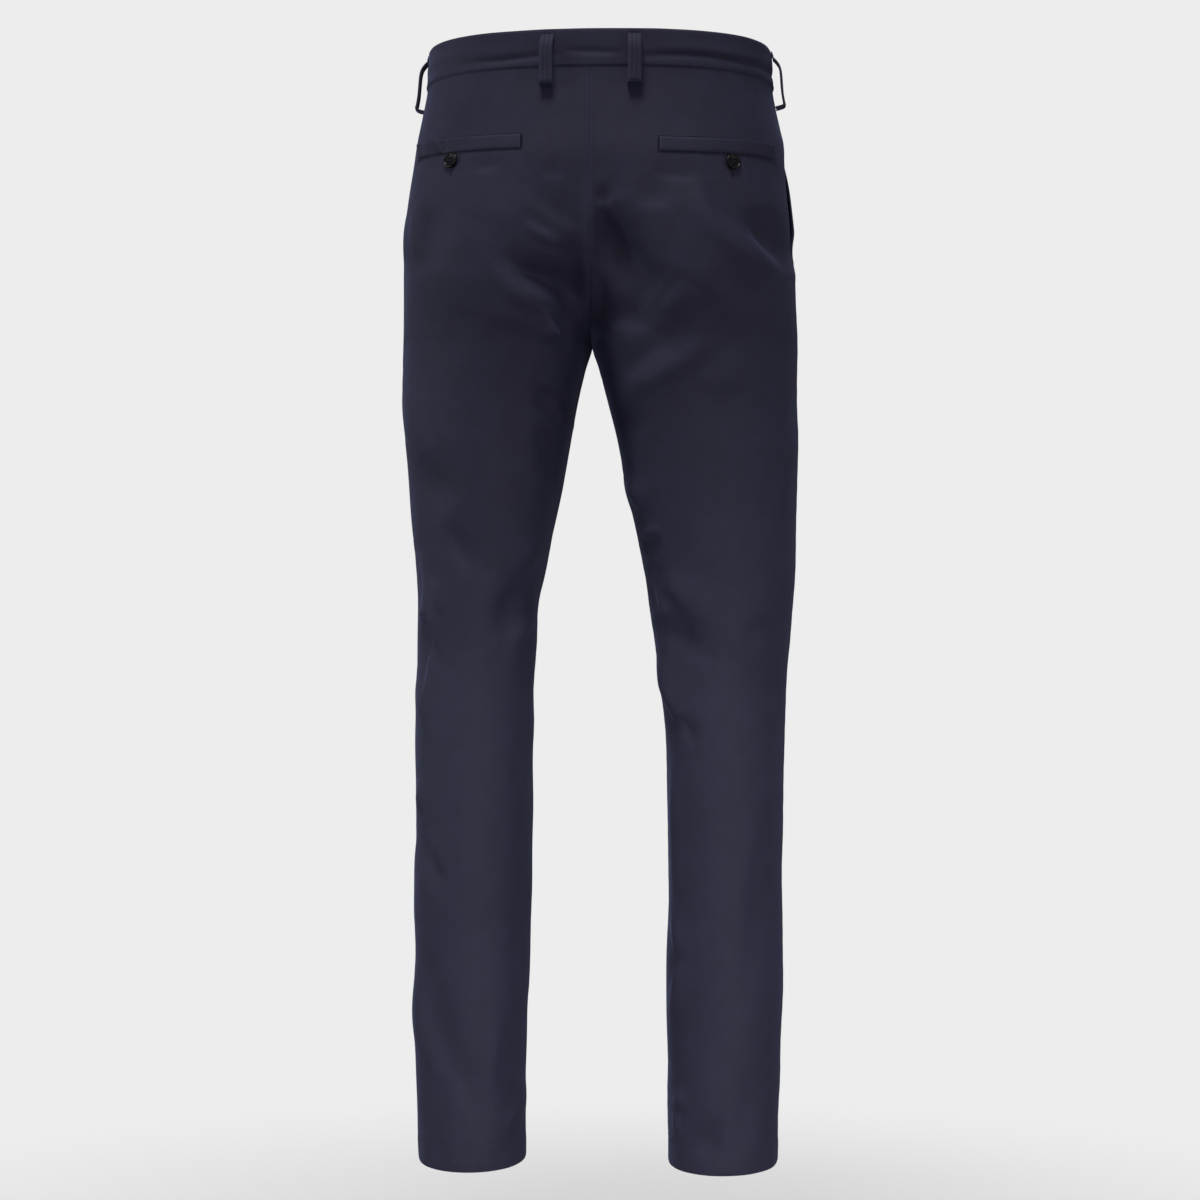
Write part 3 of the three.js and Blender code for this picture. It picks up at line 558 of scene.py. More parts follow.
# %% Pocket dips and seam ridges
POCKET_SLANT = 42
DIPS = {LEFT: (12, -198, -62), RIGHT: (10.5, -198, -66)}  # depth, lowest and highest level
DIP_SPREAD = 26
DIP_SHOULDER = 1.2
MOUTH_OPENS_OVER = 34
RIDGE_HEIGHT = 0.22
RIDGE_WIDTH = 6
PUCKERS = ((0.3, 2.9), (0.2, 7.3))  # share of the ridge, and length


def dip_at(side, level):
    deepest, low, top = DIPS[side]
    wave = np.sin(np.pi * np.clip((level - low) / (top - low), 0, 1))
    return -deepest * wave**2 - DIP_SHOULDER * wave


def slant_at(level):
    return POCKET_SLANT * (level - POCKET_BOTTOM_LEVEL) / (WAIST_SEAM_LEVEL - POCKET_BOTTOM_LEVEL)


def closed_at(level):
    return 1 - smooth((level - POCKET_BOTTOM_LEVEL) / MOUTH_OPENS_OVER)


def seam_ridge(away, level):
    pucker = 1 + sum(share * np.sin(level / length) for share, length in PUCKERS)
    return RIDGE_HEIGHT * pucker * np.exp(-((away / RIDGE_WIDTH) ** 2))


print("pocket mouths sink by", [depth + DIP_SHOULDER for depth, _, _ in DIPS.values()], "mm")

# %% [markdown]
# ## The dressed surface
# One function now answers for the whole garment: given rows of levels, and places along each
# row, it returns points on the outside of the cloth. A second one finds a place by its distance
# round the body from the centre front. Whatever is sewn on top, from a loop to a stitch, asks
# these two, so it can't hang off the cloth or sink into it. Where the cloth faces sideways its
# folds are held flatter, because the outline of filled trousers stays fair.

# %% Points on the cloth
NUDGE_SHARE, NUDGE_LEVEL = 0.004, 0.8
EASE_REACH, EASE_STEPS = 60, (-20, -13, -6, 0, 6, 13, 20)
EASE_FROM, EASE_OVER = 0.08, 0.3  # of the way from the crotch to the side seam


def lengths(side, face, levels):
    return np.array([plan_length(side, face, level) for level in levels])


def plan_point(side, face, level, from_side):
    x, y, along = plan(side, face, level)
    at = along[-1] - from_side
    return np.stack([np.interp(at, along, x), np.interp(at, along, y)], axis=-1)


def bare(side, face, levels, share):
    """Points of the filled shape, before its folds. Near the crotch the thighs are eased."""
    points = np.empty(share.shape + (3,))
    for i, level in enumerate(levels):
        spot = np.clip(share[i], 0, 1)
        from_side = (1 - spot) * plan_length(side, face, level)
        row = plan_point(side, face, level, from_side)
        away = abs(level - CROTCH_LEVEL)
        if away < EASE_REACH:
            near = [plan_point(side, face, level + step, from_side) for step in EASE_STEPS]
            eased = smooth((spot - EASE_FROM) / EASE_OVER) * (1 - smooth(away / EASE_REACH))
            row = row + eased[:, None] * (np.mean(near, axis=0) - row)
        points[i, :, :2] = row
        points[i, :, 2] = tilted(row[:, 1], level)
    return points


def bare_normals(side, face, levels, share):
    across = bare(side, face, levels, share + NUDGE_SHARE) - bare(
        side, face, levels, share - NUDGE_SHARE
    )
    up = bare(side, face, levels + NUDGE_LEVEL, share) - bare(
        side, face, levels - NUDGE_LEVEL, share
    )
    normal = -side * face * np.cross(across, up)
    return normal / np.linalg.norm(normal, axis=-1, keepdims=True)


def surface(side, face, levels, share, lift=0.0):
    levels = np.asarray(levels, float)
    share = np.clip(share, 0, 1)
    length = lengths(side, face, levels)[:, None]
    from_side = (1 - share) * length
    level = np.broadcast_to(levels[:, None], share.shape)
    points = bare(side, face, levels, share)
    x, y = points[..., 0], points[..., 1]
    normals = bare_normals(side, face, levels, share)
    held = SIDEWAYS_DEPTH + (1 - SIDEWAYS_DEPTH) * np.abs(normals[..., 1])
    high = held * folds(x, y, level) + unevenness(x, y, level) + lift
    high = high + seam_ridge(share * length, level) + seam_ridge(from_side, level)
    dip = dip_at(side, level)
    if face == BACK:
        high = high + dip * np.exp(-((from_side / DIP_SPREAD) ** 2))
    else:
        past = np.maximum(from_side - np.maximum(slant_at(level), 0), 0)
        high = high + dip * closed_at(level) * np.exp(-((past / DIP_SPREAD) ** 2))
    return points + normals * high[..., None]


def on_body(levels, around, lift=0.0):
    """Rows of points at the given levels, by distance round from centre front, + to the left."""
    levels = np.asarray(levels, float)
    around = np.array(np.broadcast_to(around, (len(levels), np.shape(around)[-1])), float)
    lift = np.broadcast_to(lift, around.shape)
    result = np.zeros(around.shape + (3,))
    for side in (LEFT, RIGHT):
        front = lengths(side, FRONT, levels)[:, None]
        back = lengths(side, BACK, levels)[:, None]
        mine = around >= 0 if side == LEFT else around < 0
        distance = np.abs(around)
        for face in (FRONT, BACK):
            here = mine & ((distance <= front) if face == FRONT else (distance > front))
            if here.any():
                share = distance / front if face == FRONT else 1 - (distance - front) / back
                result[here] = surface(side, face, levels, share, lift)[here]
    return result


def half_round(side, levels):
    levels = np.atleast_1d(np.asarray(levels, float))
    return lengths(side, FRONT, levels) + lengths(side, BACK, levels)


def behind(side, levels, from_centre):
    """Places round the body, by their distance from centre back."""
    return side * (half_round(side, levels) - from_centre)


print("half the waist:", round(half_round(LEFT, 0)[0]), "mm")

# %% [markdown]
# ## Shader maths written as sums
# A weave is a pattern of waves, and waves are easiest to read as plain sums. The first class
# wraps one socket, so that adding or multiplying it adds the Math node it stands for. The second
# makes every other node: first its settings, then its inputs.


# %% Helpers for finishes
class Number:
    """One value inside a finish, which sums can be written with."""

    def __init__(self, finish, socket):
        self.finish, self.socket = finish, socket

    def __add__(self, other):
        return self.finish.maths("ADD", self, other)

    def __sub__(self, other):
        return self.finish.maths("SUBTRACT", self, other)

    def __rsub__(self, other):
        return self.finish.maths("SUBTRACT", other, self)

    def __mul__(self, other):
        return self.finish.maths("MULTIPLY", self, other)

    __radd__, __rmul__ = __add__, __mul__

    def sine(self):
        return self.finish.maths("SINE", self)


class Finish:
    """One finish being made. Its node method makes every node in it."""

    def __init__(self, name):
        self.material = bpy.data.materials.new(name)
        self.material.use_nodes = True
        self.tree = self.material.node_tree
        self.tree.nodes.clear()

    def node(self, kind, settings=None, inputs=None):
        made = self.tree.nodes.new("ShaderNode" + kind)
        for key, value in (settings or {}).items():
            setattr(made, key, value)
        for key, value in (inputs or {}).items():
            value = value.socket if isinstance(value, Number) else value
            if isinstance(value, bpy.types.NodeSocket):
                self.tree.links.new(value, made.inputs[key])
            else:
                made.inputs[key].default_value = value
        return made

    def maths(self, operation, *values):
        made = self.node("Math", {"operation": operation}, dict(enumerate(values)))
        return Number(self, made.outputs[0])

    def noise(self, scale, detail, vector, rough=0.5):
        made = self.node("TexNoise", {}, {
            "Vector": vector, "Scale": scale, "Detail": detail, "Roughness": rough,
        })
        return Number(self, made.outputs[0])

    def blend(self, share, first, second):
        made = self.node("Mix", {"data_type": "RGBA"}, {0: share, 6: first, 7: second})
        return made.outputs[2]

    def done(self, inputs):
        shader = self.node("BsdfPrincipled", {}, inputs)
        self.node("OutputMaterial", {}, {"Surface": shader.outputs[0]})
        return self.material


print("helpers:", Number.__name__, "and", Finish.__name__)

# %% [markdown]
# ## Navy cotton twill
# Twill is woven so that each thread steps one place sideways in every row, and the steps line up
# as fine slanting ribs, the wales. Seen close up they are half a millimetre apart. The cloth has
# its own map in real metres, so the wales keep their size on every panel and turn with it. Cotton
# yarn is uneven, and dyed cloth is a little paler along seams and hems, where it rubs. The cloth
# has a faint bluish bloom at a flat angle, which the shader's sheen gives.

# %% The twill finish
WALE_PITCH = 0.00056
YARN_PITCH = WALE_PITCH * 0.8
WALE_RIGHT, WALE_UP = 0.84, -0.54  # across the slanting ribs, seen from outside
SLUB, MOTTLE, BROAD, FUZZ = 620, 60, 8, 2600  # patches in a metre
DEEP_NAVY, PALE_NAVY = (0.0165, 0.0155, 0.0325, 1), (0.041, 0.039, 0.082, 1)
DEEP_THREAD, PALE_THREAD = (0.026, 0.025, 0.05, 1), (0.054, 0.052, 0.1, 1)
RUBBED = 0.14  # how much paler seams and hems are
BLUISH = (0.42, 0.5, 1, 1)
TURN = 2 * math.pi


def twill_finish(name, deep, pale, worn_share):
    cloth = Finish(name)
    place = cloth.node("UVMap", {"uv_map": "cloth"}).outputs[0]
    parts = cloth.node("SeparateXYZ", {}, {0: place})
    across, up = Number(cloth, parts.outputs[0]), Number(cloth, parts.outputs[1])
    spot = cloth.node("TexCoord").outputs["Object"]
    worn = Number(cloth, cloth.node("Attribute", {"attribute_name": "worn"}).outputs["Fac"])
    wales = ((across * WALE_RIGHT + up * WALE_UP) * (TURN / WALE_PITCH)).sine()
    yarns = ((across * -WALE_UP + up * WALE_RIGHT) * (TURN / YARN_PITCH)).sine()
    slub = cloth.noise(SLUB, 2, spot)
    mottle = cloth.noise(MOTTLE, 3, spot)
    broad = cloth.noise(BROAD, 2, spot)
    fuzz = cloth.noise(FUZZ, 1, spot)
    tone = wales * 0.1 + slub * 0.5 + mottle * 0.5 + broad * 0.45 + fuzz * 0.12 - 0.28
    tone = tone + worn * worn_share
    height = wales * 0.34 + yarns * 0.1 + slub * 0.35 + fuzz * 0.2 + 0.3
    bump = cloth.node("Bump", {}, {"Strength": 0.5, "Distance": 0.00012, "Height": height})
    rough = mottle * 0.1 + slub * 0.08 + 0.56
    return cloth.done({
        "Base Color": cloth.blend(tone, deep, pale),
        "Roughness": rough,
        "Normal": bump.outputs[0],
        "Specular IOR Level": 0.26,
        "Sheen Weight": 0.2,
        "Sheen Roughness": 0.34,
        "Sheen Tint": BLUISH,
    })


TWILL = twill_finish("navy_twill", DEEP_NAVY, PALE_NAVY, RUBBED)
THREAD = twill_finish("navy_thread", DEEP_THREAD, PALE_THREAD, 0)
print("finishes:", TWILL.name, THREAD.name)

# %% [markdown]
# ## Polished black buttons
# The buttons are moulded to look like horn, so they are black, glossy, and very slightly cloudy.

# %% The button finish
CLOUDS, SCRATCHES = 260, 1900  # patches in a metre
BLACK, CLOUDY_BLACK = (0.002, 0.002, 0.003, 1), (0.008, 0.008, 0.01, 1)


def button_finish():
    horn = Finish("polished_black")
    spot = horn.node("TexCoord").outputs["Object"]
    cloud = horn.noise(CLOUDS, 3, spot)
    scratches = horn.noise(SCRATCHES, 2, spot)
    bump = horn.node("Bump", {}, {"Strength": 0.12, "Distance": 0.00005, "Height": scratches})
    return horn.done({
        "Base Color": horn.blend(cloud, BLACK, CLOUDY_BLACK),
        "Roughness": cloud * 0.16 + 0.22,
        "Normal": bump.outputs[0],
        "Specular IOR Level": 0.3,
    })


HORN = button_finish()
print("finish:", HORN.name)

# %% [markdown]
# ## One layer of cloth as a closed shell
# Cloth has a thickness that shows at every hem and opening. So each piece is made as two grids
# of points, the outside and the inside, joined round their edges by narrow rims. Solidify could
# give a wall to a single sheet too. But here the inner grid is needed anyway, because a hem is
# thicker than the leg above it, and two panels must not run into each other at a seam.


# %% Grids to meshes
def grid_area(grid):
    a = grid[1:, 1:] - grid[:-1, :-1]
    b = grid[1:, :-1] - grid[:-1, 1:]
    return np.linalg.norm(np.cross(a, b), axis=-1).sum() / 2


def grid_normals(grid, outward):
    """Normals of a grid from its neighbours, turned to the side that `outward` points to."""
    across, up = np.empty_like(grid), np.empty_like(grid)
    across[:, 1:-1] = grid[:, 2:] - grid[:, :-2]
    across[:, 0], across[:, -1] = grid[:, 1] - grid[:, 0], grid[:, -1] - grid[:, -2]
    up[1:-1] = grid[2:] - grid[:-2]
    up[0], up[-1] = grid[1] - grid[0], grid[-1] - grid[-2]
    normal = np.cross(up, across)
    normal *= np.sign((normal * outward).sum())
    return normal / np.maximum(np.linalg.norm(normal, axis=-1, keepdims=True), 1e-9)


def shell_faces(rows, cols):
    at = np.arange(rows * cols).reshape(rows, cols)
    under = at + rows * cols
    a, b, c, d = at[:-1, :-1], at[:-1, 1:], at[1:, 1:], at[1:, :-1]
    outside = np.stack([a, b, c, d], axis=-1).reshape(-1, 4)
    inside = (outside + rows * cols)[:, ::-1]
    rims = []
    for edge, low in (
        (at[0, ::-1], under[0, ::-1]),
        (at[-1], under[-1]),
        (at[:, 0], under[:, 0]),
        (at[::-1, -1], under[::-1, -1]),
    ):
        rims.append(np.stack([edge[:-1], edge[1:], low[1:], low[:-1]], axis=-1))
    return np.concatenate([outside, inside] + rims)


def signed_volume(points, faces):
    a, b, c, d = (points[faces[:, i]] for i in range(4))
    return (np.cross(a, b) * c).sum() + (np.cross(a, c) * d).sum()


def put_mesh(name, points, faces, material):
    mesh = bpy.data.meshes.new(name)
    mesh.from_pydata((points * MM).tolist(), [], faces.tolist())
    mesh.polygons.foreach_set("use_smooth", np.ones(len(faces), bool))
    mesh.materials.append(material)
    piece = bpy.data.objects.new(name, mesh)
    bpy.context.collection.objects.link(piece)
    return piece


SHARP_EDGE = math.radians(55)


def shell(name, outer, inner, across, up, worn=None, material=TWILL):
    """A closed layer of cloth. across and up are its own map, in millimetres of cloth."""
    rows, cols = outer.shape[:2]
    points = np.concatenate([outer.reshape(-1, 3), inner.reshape(-1, 3)])
    faces = shell_faces(rows, cols)
    if signed_volume(points, faces) < 0:
        faces = faces[:, ::-1]
    piece = put_mesh(name, points, faces, material)
    mesh = piece.data
    flat = np.stack([
        np.broadcast_to(across, (rows, cols)).ravel(), np.broadcast_to(up, (rows, cols)).ravel(),
    ], axis=-1)
    flat = np.concatenate([flat, flat]) * MM
    corner = np.empty(len(mesh.loops), int)
    mesh.loops.foreach_get("vertex_index", corner)
    mesh.uv_layers.new(name="cloth").data.foreach_set("uv", flat[corner].ravel())
    rubbed = np.zeros((rows, cols)) if worn is None else np.broadcast_to(worn, (rows, cols))
    rubbed = np.tile(rubbed.ravel(), 2)
    mesh.attributes.new("worn", "FLOAT", "POINT").data.foreach_set("value", rubbed)
    mesh.set_sharp_from_angle(angle=SHARP_EDGE)
    mesh.update()
    print(f"{name}: {len(mesh.polygons) * 2} triangles, {grid_area(outer) / 1e6:.4f} m2")
    return piece


print("a shell of two by two points has", len(shell_faces(2, 2)), "faces, so it is closed")

# %% [markdown]
# ## Putting each piece in place of its solid
# model.glb holds a plain solid for every piece. Each cloth piece here rides on the same body and
# stands in for its own solid, which is hidden. How large it would be laid out flat is worked out
# as well, and left unused.


# %% Putting a piece in place of its solid
def declare_cloth(piece, node, outer):
    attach(piece, "root")
    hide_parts(node)
    row_lengths = np.linalg.norm(np.diff(outer, axis=1), axis=-1).sum(1)
    column_lengths = np.linalg.norm(np.diff(outer, axis=0), axis=-1).sum(0)
    flat = sorted([row_lengths.max() * MM, column_lengths.max() * MM])
    area = min(grid_area(outer) * MM * MM, flat[0] * flat[1])


print("solids that the pieces will stand in for:", len(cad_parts))

# %% [markdown]
# ## The four leg panels
# Each leg is one back panel and one front panel, cut in one piece from waist to hem. Their edges
# roll down into the seam, the fly is doubled on the left front, and the fronts stop short at the
# slant pockets. At the hem the cloth is turned up and is thicker.

# %% Leg panels
PANEL_MIDDLE = {BACK: 108, FRONT: 76}  # columns, more where most folds are
PANEL_EDGE = np.array([0, 0.6, 1.4, 2.6, 4.4])
HEM_CLOTH = 2.6
HEM_DEPTH = 24
PANEL_ROWS = [
    # from, to, rows: closer together at the hem, the crotch and the seat
    [HEM_LEVEL, HEM_LEVEL + HEM_DEPTH, 13],
    [-1005, -302, 244],
    [-300, -266, 16],
    [-264, -221.5, 30],
    [-220, WAIST_SEAM_LEVEL, 96],
]
PANEL_LEVELS = np.concatenate([np.linspace(*stretch) for stretch in PANEL_ROWS])
EDGE_ROLL, EDGE_ROLL_WIDTH = 0.6, 1
HEM_ROLL, HEM_ROLL_WIDTH = 0.7, 1.6
HEM_GROOVE, HEM_GROOVE_WIDTH = 0.28, 1.5
RUFFLE_HEIGHT, RUFFLE_LENGTH, RUFFLE_ABOVE_HEM, RUFFLE_WIDTH = 0.3, 5.2, 16, 13
RUBBED_INSET, RUBBED_WIDTH, RUBBED_HEM = 1.4, 1.8, 2.4
FLY_WIDTH = 38
FLY_BOTTOM_LEVEL = -196
FLY_DOUBLED = 1.3
FLY_THICKENS_OVER, FLY_THINS_OVER = 20, 10


def bell(away, width):
    return np.exp(-((away / width) ** 2))


def fly_share(side, face, level, from_centre):
    if side == RIGHT or face == BACK:
        return np.zeros(np.broadcast(level, from_centre).shape)
    low = smooth((level - FLY_BOTTOM_LEVEL) / FLY_THICKENS_OVER)
    return low * (1 - smooth((from_centre - FLY_WIDTH + FLY_THINS_OVER) / FLY_THINS_OVER))


def keep_own_side(points, side, levels):
    """The two halves meet on the middle plane of the seat, and the legs stay just apart."""
    level = levels[:, None]
    limit = read(SEAM, "x", np.maximum(level, CROTCH_LEVEL))
    below = side * SEAM_GAP / 2 * (level <= CROTCH_LEVEL)
    clamp = np.maximum if side == LEFT else np.minimum
    near = level > CROTCH_LEVEL - LEG_GAP_HOLD
    points[..., 0] = np.where(near, clamp(points[..., 0], limit + below), points[..., 0])
    meets = levels > CROTCH_LEVEL
    points[meets, 0, 0] = limit[meets, 0]


def panel(side, face):
    levels, level = PANEL_LEVELS, PANEL_LEVELS[:, None]
    length = lengths(side, face, levels)[:, None]
    slant = np.maximum(slant_at(level), 0) if face == FRONT else 0
    last = length - slant
    inset = PANEL_EDGE[-1]
    middle = np.linspace(0, 1, PANEL_MIDDLE[face] + 2)[None, 1:-1]
    distance = np.concatenate([
        np.broadcast_to(PANEL_EDGE, (len(levels), len(PANEL_EDGE))),
        inset + (last - 2 * inset) * middle,
        last - PANEL_EDGE[::-1],
    ], axis=1)
    fly = fly_share(side, face, level, distance) * FLY_DOUBLED
    from_edge = np.minimum(distance, last - distance)
    above_hem = level - HEM_LEVEL
    ruffle = RUFFLE_HEIGHT * np.sin(distance / RUFFLE_LENGTH + side)
    ruffle = ruffle * bell(above_hem - RUFFLE_ABOVE_HEM, RUFFLE_WIDTH)
    lift = fly - EDGE_ROLL * bell(from_edge, EDGE_ROLL_WIDTH) + ruffle
    lift = lift - HEM_ROLL * bell(above_hem, HEM_ROLL_WIDTH)
    lift = lift - HEM_GROOVE * bell(above_hem - HEM_DEPTH, HEM_GROOVE_WIDTH)
    share = distance / length
    outer = surface(side, face, levels, share, lift)
    keep_own_side(outer, side, levels)
    normals = grid_normals(outer, bare_normals(side, face, levels, share))
    normals[levels <= CROTCH_LEVEL, 0, 1] = 0
    closed = levels <= POCKET_BOTTOM_LEVEL if face == FRONT else slice(None)
    normals[closed, -1, 1] = 0
    normals /= np.linalg.norm(normals, axis=-1, keepdims=True)
    thick = np.where(above_hem <= HEM_DEPTH, HEM_CLOTH, CLOTH) + fly
    inner = outer - normals * thick[..., None]
    keep_own_side(inner, side, levels)
    worn = np.maximum(bell(from_edge - RUBBED_INSET, RUBBED_WIDTH), bell(above_hem, RUBBED_HEM))
    turned = -side * face * distance
    return outer, inner, turned, np.broadcast_to(level, distance.shape), worn


for word, side in SIDES.items():
    for way, face in (("back", BACK), ("front", FRONT)):
        grids = panel(side, face)
        piece = shell(f"twill_{way}_{word}", *grids)
        declare_cloth(piece, f"{way}_{word}", grids[0])

# %% [markdown]
# ## The facings inside the slant pockets
# Behind each slant edge lies a strip of the same twill, the pocket facing. It is what one sees
# in the gaping mouth, so it follows the sunken cloth, just inside the front panel.

# %% Pocket facings
FACING_UNDER_BACK = 6
FACING_UNDER_FRONT = 22
FACING_GAP = 0.9
FACING_RAISED = 4  # above the lower end of the mouth
FACING_ROWS, FACING_COLUMNS = 72, 34


def facing(side):
    low, top = POCKET_BOTTOM_LEVEL + FACING_RAISED, WAIST_SEAM_LEVEL - SEAM_GAP / 2
    levels = np.linspace(low, top, FACING_ROWS)
    level = levels[:, None]
    seam = lengths(side, FRONT, levels)[:, None]
    start = seam - slant_at(level) - FACING_UNDER_FRONT
    around = start + (seam + FACING_UNDER_BACK - start) * np.linspace(0, 1, FACING_COLUMNS)
    forward = seam - around
    past = np.maximum(forward - slant_at(level), 0)
    sunk = dip_at(side, level) * bell(past, DIP_SPREAD) * (1 - closed_at(level))
    lift = np.where(forward > 0, sunk, 0) - CLOTH - FACING_GAP
    outer = on_body(levels, side * around, lift)
    inner = on_body(levels, side * around, lift - CLOTH)
    return outer, inner, side * around, np.broadcast_to(level, around.shape)


for word, side in SIDES.items():
    grids = facing(side)
    piece = shell(f"facing_{word}", *grids)
    declare_cloth(piece, f"pocket_facing_{word}", grids[0])

# %% [markdown]
# ## The waistband
# The band is a folded strip in two halves that meet at the centre back. Its right end tucks under
# the left one at the front. Where a belt and a body have bent it, shallow ripples run along its
# lower half, and its folded top edge is round.

# %% Waistband
BAND_CLOTH = 3
BAND_PROUD = 1
FRONT_OVERLAP = 34
FLY_EDGE = 4
BAND_COLUMNS = 216
BAND_LEVELS = np.linspace(WAIST_SEAM_LEVEL, WAIST_TOP_LEVEL, 26)
BAND_ROLL, BAND_END_ROLL, ROLL_WIDTH = 0.8, 0.4, 0.9
BAND_INSIDE_ROLL = 0.8  # of the roll outside
BAND_RUBBED = 1.6
TUCK_FROM, TUCK_OVER = -30, 22
LIE_GAP = 0.6
BAND_RIPPLES = [
    # from centre back at both ends, level at both ends, width, height
    [-250, -30, -5, -8, 3.2, -1.9],
    [-190, -50, 1, -1, 5, 0.9],
    [26, 130, -7, -9, 3, -1.7],
    [60, 230, -1, 1, 5, 0.9],
    [-30, 24, -4, -4, 3.2, -1.3],
]
RIPPLE_SWAY, RIPPLE_SWAY_LENGTH, RIPPLE_BLUNT = 0.9, 19, 0.6


def band_ripple(side, levels, around):
    """The ripples, placed by their distance from centre back, + to the wearer's left."""
    from_back = side * (half_round(side, levels)[:, None] - side * around)
    high = 0
    for start, end, level1, level2, width, height in BAND_RIPPLES:
        t = (from_back - start) / (end - start)
        t = np.clip(t, 0, 1)
        line = level1 + (level2 - level1) * t
        line = line + RIPPLE_SWAY * np.sin(from_back / RIPPLE_SWAY_LENGTH)
        shape = np.sin(np.pi * t) ** RIPPLE_BLUNT
        high = high + height * shape * bell(levels[:, None] - line, width)
    return high


def band_lift(side, levels, around):
    tuck = smooth((around - TUCK_FROM) / TUCK_OVER) if side == RIGHT else 0
    ripple = band_ripple(side, levels, around)
    return BAND_PROUD + ripple - tuck * (BAND_CLOTH + LIE_GAP)


def waistband(side):
    level = BAND_LEVELS[:, None]
    start = side * half_round(side, BAND_LEVELS)[:, None]
    end = -FLY_EDGE if side == LEFT else FRONT_OVERLAP
    around = start + (end - start) * np.linspace(0, 1, BAND_COLUMNS)
    to_edge = np.minimum(WAIST_TOP_LEVEL - level, level - BAND_LEVELS[0])
    roll = BAND_ROLL * bell(to_edge, ROLL_WIDTH)
    roll = roll + BAND_END_ROLL * bell(around - start, ROLL_WIDTH)
    lift = band_lift(side, BAND_LEVELS, around)
    outer = on_body(BAND_LEVELS, around, lift - roll)
    inner = on_body(BAND_LEVELS, around, lift - BAND_CLOTH + BAND_INSIDE_ROLL * roll)
    outer[:, 0, 0] = inner[:, 0, 0] = 0
    worn = np.broadcast_to(bell(to_edge, BAND_RUBBED), around.shape)
    return outer, inner, around, np.broadcast_to(level, around.shape), worn


for word, side in SIDES.items():
    grids = waistband(side)
    piece = shell(f"band_{word}", *grids)
    declare_cloth(piece, f"waistband_{word}", grids[0])

# %% [markdown]
# ## Belt loops
# A belt loop is a narrow ribbed strip. Its top is sewn to the band, it bows out so that a belt
# can pass, and its lower end is folded in and sewn below the band. A smooth path through the few
# stations of the solid gives its side view, and thirteen points across give its three ribs.

# %% Belt loops
LOOP_WIDTH = 12
LOOP_CLOTH = 1.6
LOOP_STATIONS = np.array([
    # off the cloth, level
    [1.7, 17], [2.3, 12.5], [5.2, 9], [8.2, 4], [9.6, -3], [9.8, -14],
    [9.8, -26], [9.7, -34], [8.6, -36], [4.5, -36.6], [0.7, -36.8],
])
LOOP_TOP_STATIONS = 3
LOOP_OVER_BAND = 1.6
LOOP_FOLD = 1.6
LOOP_BETWEEN = 5
LOOP_COLUMNS = 13
LOOP_RIBS, LOOP_RIB_HEIGHT = 3, 0.28
LOOP_ROLL, LOOP_RUBBED = 0.25, 1.1
FRONT_LOOP_AROUND = 74
BACK_LOOP_FROM_CENTRE = 40
SIDE_LOOP_BEHIND = 2


def smooth_path(stations, between):
    """A curve through the stations, with points between them."""
    padded = np.vstack([2 * stations[0] - stations[1], stations, 2 * stations[-1] - stations[-2]])
    t = np.linspace(0, 1, between, endpoint=False)[:, None]
    parts = []
    for a, b, c, d in zip(padded, padded[1:], padded[2:], padded[3:]):
        parts.append(0.5 * (2 * b + (c - a) * t + (2 * a - 5 * b + 4 * c - d) * t**2
                            + (3 * b - a - 3 * c + d) * t**3))
    return np.vstack(parts + [stations[-1:]])


def loop_grids(around_at):
    """The outside and inside of a loop whose middle lies at around_at(level)."""
    path = smooth_path(LOOP_STATIONS, LOOP_BETWEEN)
    along = np.gradient(path, axis=0)
    along /= np.linalg.norm(along, axis=1, keepdims=True)
    inward = np.stack([along[:, 1], -along[:, 0]], axis=1) * LOOP_CLOTH
    inward[0] = (0, -LOOP_CLOTH * LOOP_FOLD)
    inward[-1] = (0, LOOP_CLOTH)
    under = path + inward
    across = np.linspace(-LOOP_WIDTH / 2, LOOP_WIDTH / 2, LOOP_COLUMNS)
    to_edge = LOOP_WIDTH / 2 - np.abs(across)
    ribs = LOOP_RIB_HEIGHT * np.cos(across / LOOP_WIDTH * 2 * LOOP_RIBS * np.pi)
    ribs = ribs - LOOP_ROLL * bell(to_edge, ROLL_WIDTH)
    station = np.arange(len(path)) / LOOP_BETWEEN
    least = np.where(station < LOOP_TOP_STATIONS, LOOP_OVER_BAND, LIE_GAP)[:, None]
    grids = []
    for line, rib in ((path, ribs), (under, 0 * ribs)):
        middle = np.broadcast_to(around_at(line[:, 1]), len(line))
        around = middle[:, None] + across
        lift = np.maximum(line[:, :1], least) + rib
        grids.append(on_body(line[:, 1], around, lift))
    length = np.concatenate([[0], np.cumsum(np.linalg.norm(np.diff(path, axis=0), axis=1))])
    worn = np.broadcast_to(bell(to_edge, LOOP_RUBBED), (len(path), LOOP_COLUMNS))
    return grids[0], grids[1], across[None, :], length[:, None], worn


def loop_places(side):
    """Where the middle of each loop lies round the body, as a function of the levels."""
    return {
        "front": lambda levels: side * FRONT_LOOP_AROUND,
        "side": lambda levels: side * (lengths(side, FRONT, levels) + SIDE_LOOP_BEHIND),
        "back": lambda levels: behind(side, levels, BACK_LOOP_FROM_CENTRE),
    }


for word, side in SIDES.items():
    for place, around_at in loop_places(side).items():
        grids = loop_grids(around_at)
        piece = shell(f"loop_{place}_{word}", *grids)
        declare_cloth(piece, f"belt_loop_{place}_{word}", grids[0])

# %% [markdown]
# ## Back pocket welts
# The mouth of a back pocket is a slit with a folded strip, the welt, lying over it. It is slack
# towards the side seam, so there its top edge stands off the panel and its face looks down. The
# left one is puckered there too.

